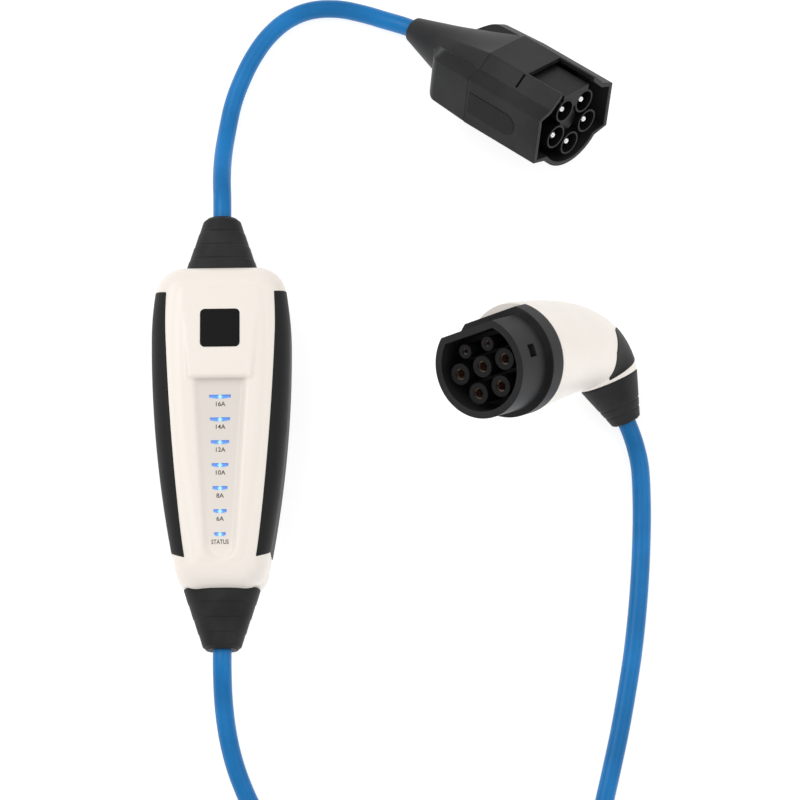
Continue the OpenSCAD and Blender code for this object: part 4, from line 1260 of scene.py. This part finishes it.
@dataclass
class Leads:
    """The two blue cables, laid on the floor, and the strap round the coil."""

    plug: SupplyPlug
    connector: VehicleConnector
    diameter: float = 12.0
    boot_tip: float = 143.0
    exit_z: float = 29.0
    coil_place: tuple[float, float] = (131.0, -356.0)
    coil_radius: float = 72.0
    coil_low: float = 7.8
    coil_turns: tuple[float, ...] = (0, 4, 5, 9, 9.5)
    coil_offsets: tuple[float, ...] = (2, -2, -2, 2, 2.5)
    drop_from: float = 9.05
    turn_points: int = 15
    plug_depth: float = 3.0
    supply_route: tuple[tuple[float, float, float], ...] = (
        (0, 143, 29), (0, 157, 28.2), (-0.6, 175, 22), (0, 194, 13.5), (2.5, 213, 8), (6, 231, 6.1), (11.5, 247, 6),
        (19, 263, 6), (29, 278, 6), (42, 290, 6), (58, 297, 6), (76, 298, 6), (93, 294.5, 6), (107, 289.9, 6.3),
        (118, 285.8, 7.8),
    )
    outlet_route: tuple[tuple[float, float, float], ...] = (
        (0, -143, 29), (0, -157, 28.2), (0.5, -175, 22), (2.5, -194, 13.5), (6.5, -212, 8), (12.5, -229, 6.1),
        (20, -246, 6), (27, -266, 6), (32, -288, 6), (34.5, -312, 6.5), (35, -336, 7.4),
    )
    connector_route: tuple[tuple[float, float, float], ...] = (
        (265.4, 2.7, 7.3), (267.3, -3, 6.35), (268.9, -8.8, 6.05), (271, -20.6, 6), (271.6, -34, 6), (271.4, -54, 6),
        (270.3, -76, 6), (268.6, -98, 6), (266, -122, 6), (262.6, -146, 6), (258.2, -170, 6), (252.8, -196, 6),
        (246.5, -222, 6), (240.2, -248, 6), (235.8, -276, 6), (233.4, -306, 6.6), (233, -334, 7.4),
    )

    def coil(self) -> Array:
        """Points of the coil.

        The lower layer winds inwards by one diameter a turn, climbs to the upper layer, winds outwards
        the same way, and drops off the outside in its last half turn.

        Returns:
            The points, from the left side of the coil to the right.
        """
        last = self.coil_turns[-1]
        turn = np.linspace(0, last, int(last * self.turn_points) + 1)
        angle = math.pi + 2 * math.pi * turn
        d = self.diameter
        offset = np.interp(turn, self.coil_turns, np.array(self.coil_offsets) * d)
        z = self.coil_low + d * (ramp(*self.coil_turns[1:3], turn) - ramp(self.drop_from, last, turn))
        r = self.coil_radius + offset
        return xyz(self.coil_place[0] + r * np.cos(angle), self.coil_place[1] + r * np.sin(angle), z)

    def spline(self, name: str, points: Array) -> bpy.types.Object:
        """A round cable on one open spline.

        Args:
            name: The piece's name.
            points: Its points in millimetres.

        Returns:
            The curve object.
        """
        curve = bpy.data.curves.new(name, "CURVE")
        curve.dimensions, curve.bevel_depth, curve.bevel_resolution = "3D", self.diameter / 2 * MM, 5
        curve.resolution_u, curve.render_resolution_u, curve.use_fill_caps = 5, 5, True
        line = curve.splines.new("BEZIER")
        line.bezier_points.add(len(points) - 1)
        line.bezier_points.foreach_set("co", (points * MM).ravel())
        for point in line.bezier_points:
            point.handle_left_type = point.handle_right_type = "AUTO"
        return link(name, curve)

    @staticmethod
    def length(points: Array) -> float:
        """Length of a row of points, in metres."""
        return round(float(np.linalg.norm(np.diff(points, axis=0), axis=1).sum()) * MM, 3)

    def supply(self) -> tuple[bpy.types.Object, Array]:
        """The short lead from the box to the plug.

        Returns:
            The cable and its points.
        """
        tail = np.array(self.plug.tail)
        inside = tail + self.plug_depth * self.plug.direction()
        points = smooth_route(np.vstack([np.array(self.supply_route, float), tail, inside]), spacing=9.0)
        piece = settle(self.spline("supply_lead", points), Palette.CABLE.material(), ["supply_cable"])
        return piece, points

    def charging(self) -> tuple[bpy.types.Object, Array]:
        """The long lead from the box through the coil to the connector.

        Returns:
            The cable and its points.
        """
        coil = self.coil()
        first = smooth_route(np.vstack([np.array(self.outlet_route, float), coil[0]]), spacing=9.5)
        back = np.vstack([self.connector.boot_tip(), np.array(self.connector_route, float), coil[-1]])
        points = np.vstack([first[:-1], coil, smooth_route(back, spacing=10.0)[::-1][1:]])
        nodes = ["outlet_cable", "cable_coil", "connector_cable"]
        return settle(self.spline("charging_lead", points), Palette.CABLE.material(), nodes), points

    def build(self) -> dict[str, tuple[bpy.types.Object, Array]]:
        """Dresses the strap, makes both leads and returns each with its points."""
        dress(Palette.STRAP, "cable_tie")
        return {"supply": self.supply(), "charging": self.charging()}

    def declare(self, made: dict[str, tuple[bpy.types.Object, Array]], plug: list[bpy.types.Object],
                connector: list[bpy.types.Object]) -> None:
        """Works out each lead's end offset and length, and keeps neither.

        Args:
            made: The leads with their points.
            plug: Pieces on the supply lead; not used.
            connector: Pieces on the charging lead; not used.
        """
        rows = (("supply", 1, "plug", Lay.LOOSE, plug),
                ("charging", -1, "connector", Lay.COILED, connector + [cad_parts["cable_tie"]]))
        for name, end, far, lay, pieces in rows:
            cable, points = made[name]
            end * self.boot_tip * MM
            self.length(points)


# Studio


@dataclass
class Studio:
    """Camera, soft light and floor."""

    elevation: float = 76.0
    distance: float = 2200.0
    lens: float = 152.39
    roll: float = 0.745
    target: tuple[float, float, float] = (115.27, 20.86, 25.0)
    floor_half: float = 3.0
    floor_z: float = -0.0004
    floor_glow: float = 0.8
    sky: float = 0.63

    def camera(self) -> None:
        """Looks down at the charger from the photograph's side."""
        e = math.radians(self.elevation)
        back = Vector((0, -math.cos(e), math.sin(e)))
        right = Vector((1, 0, 0))
        turn = Matrix((right, back.cross(right), back)).transposed()
        turn = turn @ Matrix.Rotation(math.radians(-self.roll), 3, "Z")
        data = bpy.data.cameras.new("camera")
        data.lens, data.sensor_width = self.lens, 36.0
        data.clip_start, data.clip_end = 0.01, 20.0
        view = link("camera", data)
        place = Vector(self.target) * MM + back * self.distance * MM
        view.matrix_world = Matrix.Translation(place) @ turn.to_4x4()
        bpy.context.scene.camera = view

    def lamp(self, name: str, place: tuple[float, float, float], size: float, power: float) -> None:
        """A square soft light that looks at the charger.

        Args:
            name: Its name.
            place: Where it stands, in metres.
            size: Its side in metres.
            power: Its power in watts.
        """
        data = bpy.data.lights.new(name, "AREA")
        data.shape, data.size, data.energy = "SQUARE", size, power
        made = link(name, data)
        aim = Vector(self.target) * MM - Vector(place)
        made.matrix_world = Matrix.Translation(place) @ aim.to_track_quat("-Z", "Y").to_matrix().to_4x4()

    def floor(self) -> None:
        """A wide pale floor just under the charger."""
        half, z = self.floor_half, self.floor_z
        mesh = bpy.data.meshes.new("floor")
        mesh.from_pydata([(-half, -half, z), (half, -half, z), (half, half, z), (-half, half, z)], [], [(0, 1, 2, 3)])
        shade = Shader("pale_floor")
        haze = shade.noise(3.0, 2.0)
        mesh.materials.append(shade.finish(
            Base_Color=shade.mix(haze, (0.37, 0.37, 0.37, 1), (0.39, 0.39, 0.39, 1)), Roughness=0.9,
            Specular_IOR_Level=0.0, Emission_Color=(1.0, 1.0, 1.0, 1.0), Emission_Strength=self.floor_glow))
        made = link("floor", mesh)

    def build(self) -> None:
        """Sets the stage."""
        self.camera()
        self.floor()
        world = bpy.data.worlds.new("studio")
        world.use_nodes = True
        world.node_tree.nodes["Background"].inputs["Color"].default_value = (1.0, 1.0, 1.0, 1.0)
        world.node_tree.nodes["Background"].inputs["Strength"].default_value = self.sky
        bpy.context.scene.world = world
        bpy.context.scene.view_settings.view_transform = "Standard"
        self.lamp("key", (-0.9, 0.7, 1.6), 1.1, 11.0)
        self.lamp("fill", (1.3, 0.2, 1.3), 1.3, 4.0)
        self.lamp("front", (0.1, -1.4, 1.1), 1.2, 2.5)


def main() -> None:
    """Builds the stage, the leads and each sub-assembly."""
    logging.basicConfig(level=logging.INFO)
    Studio().build()
    plug, connector = SupplyPlug(), VehicleConnector()
    leads = Leads(plug, connector)
    made = leads.build()
    leads.declare(made, plug.build(), connector.build())
    ControlBox().build()


if __name__ == "__main__":
    main()
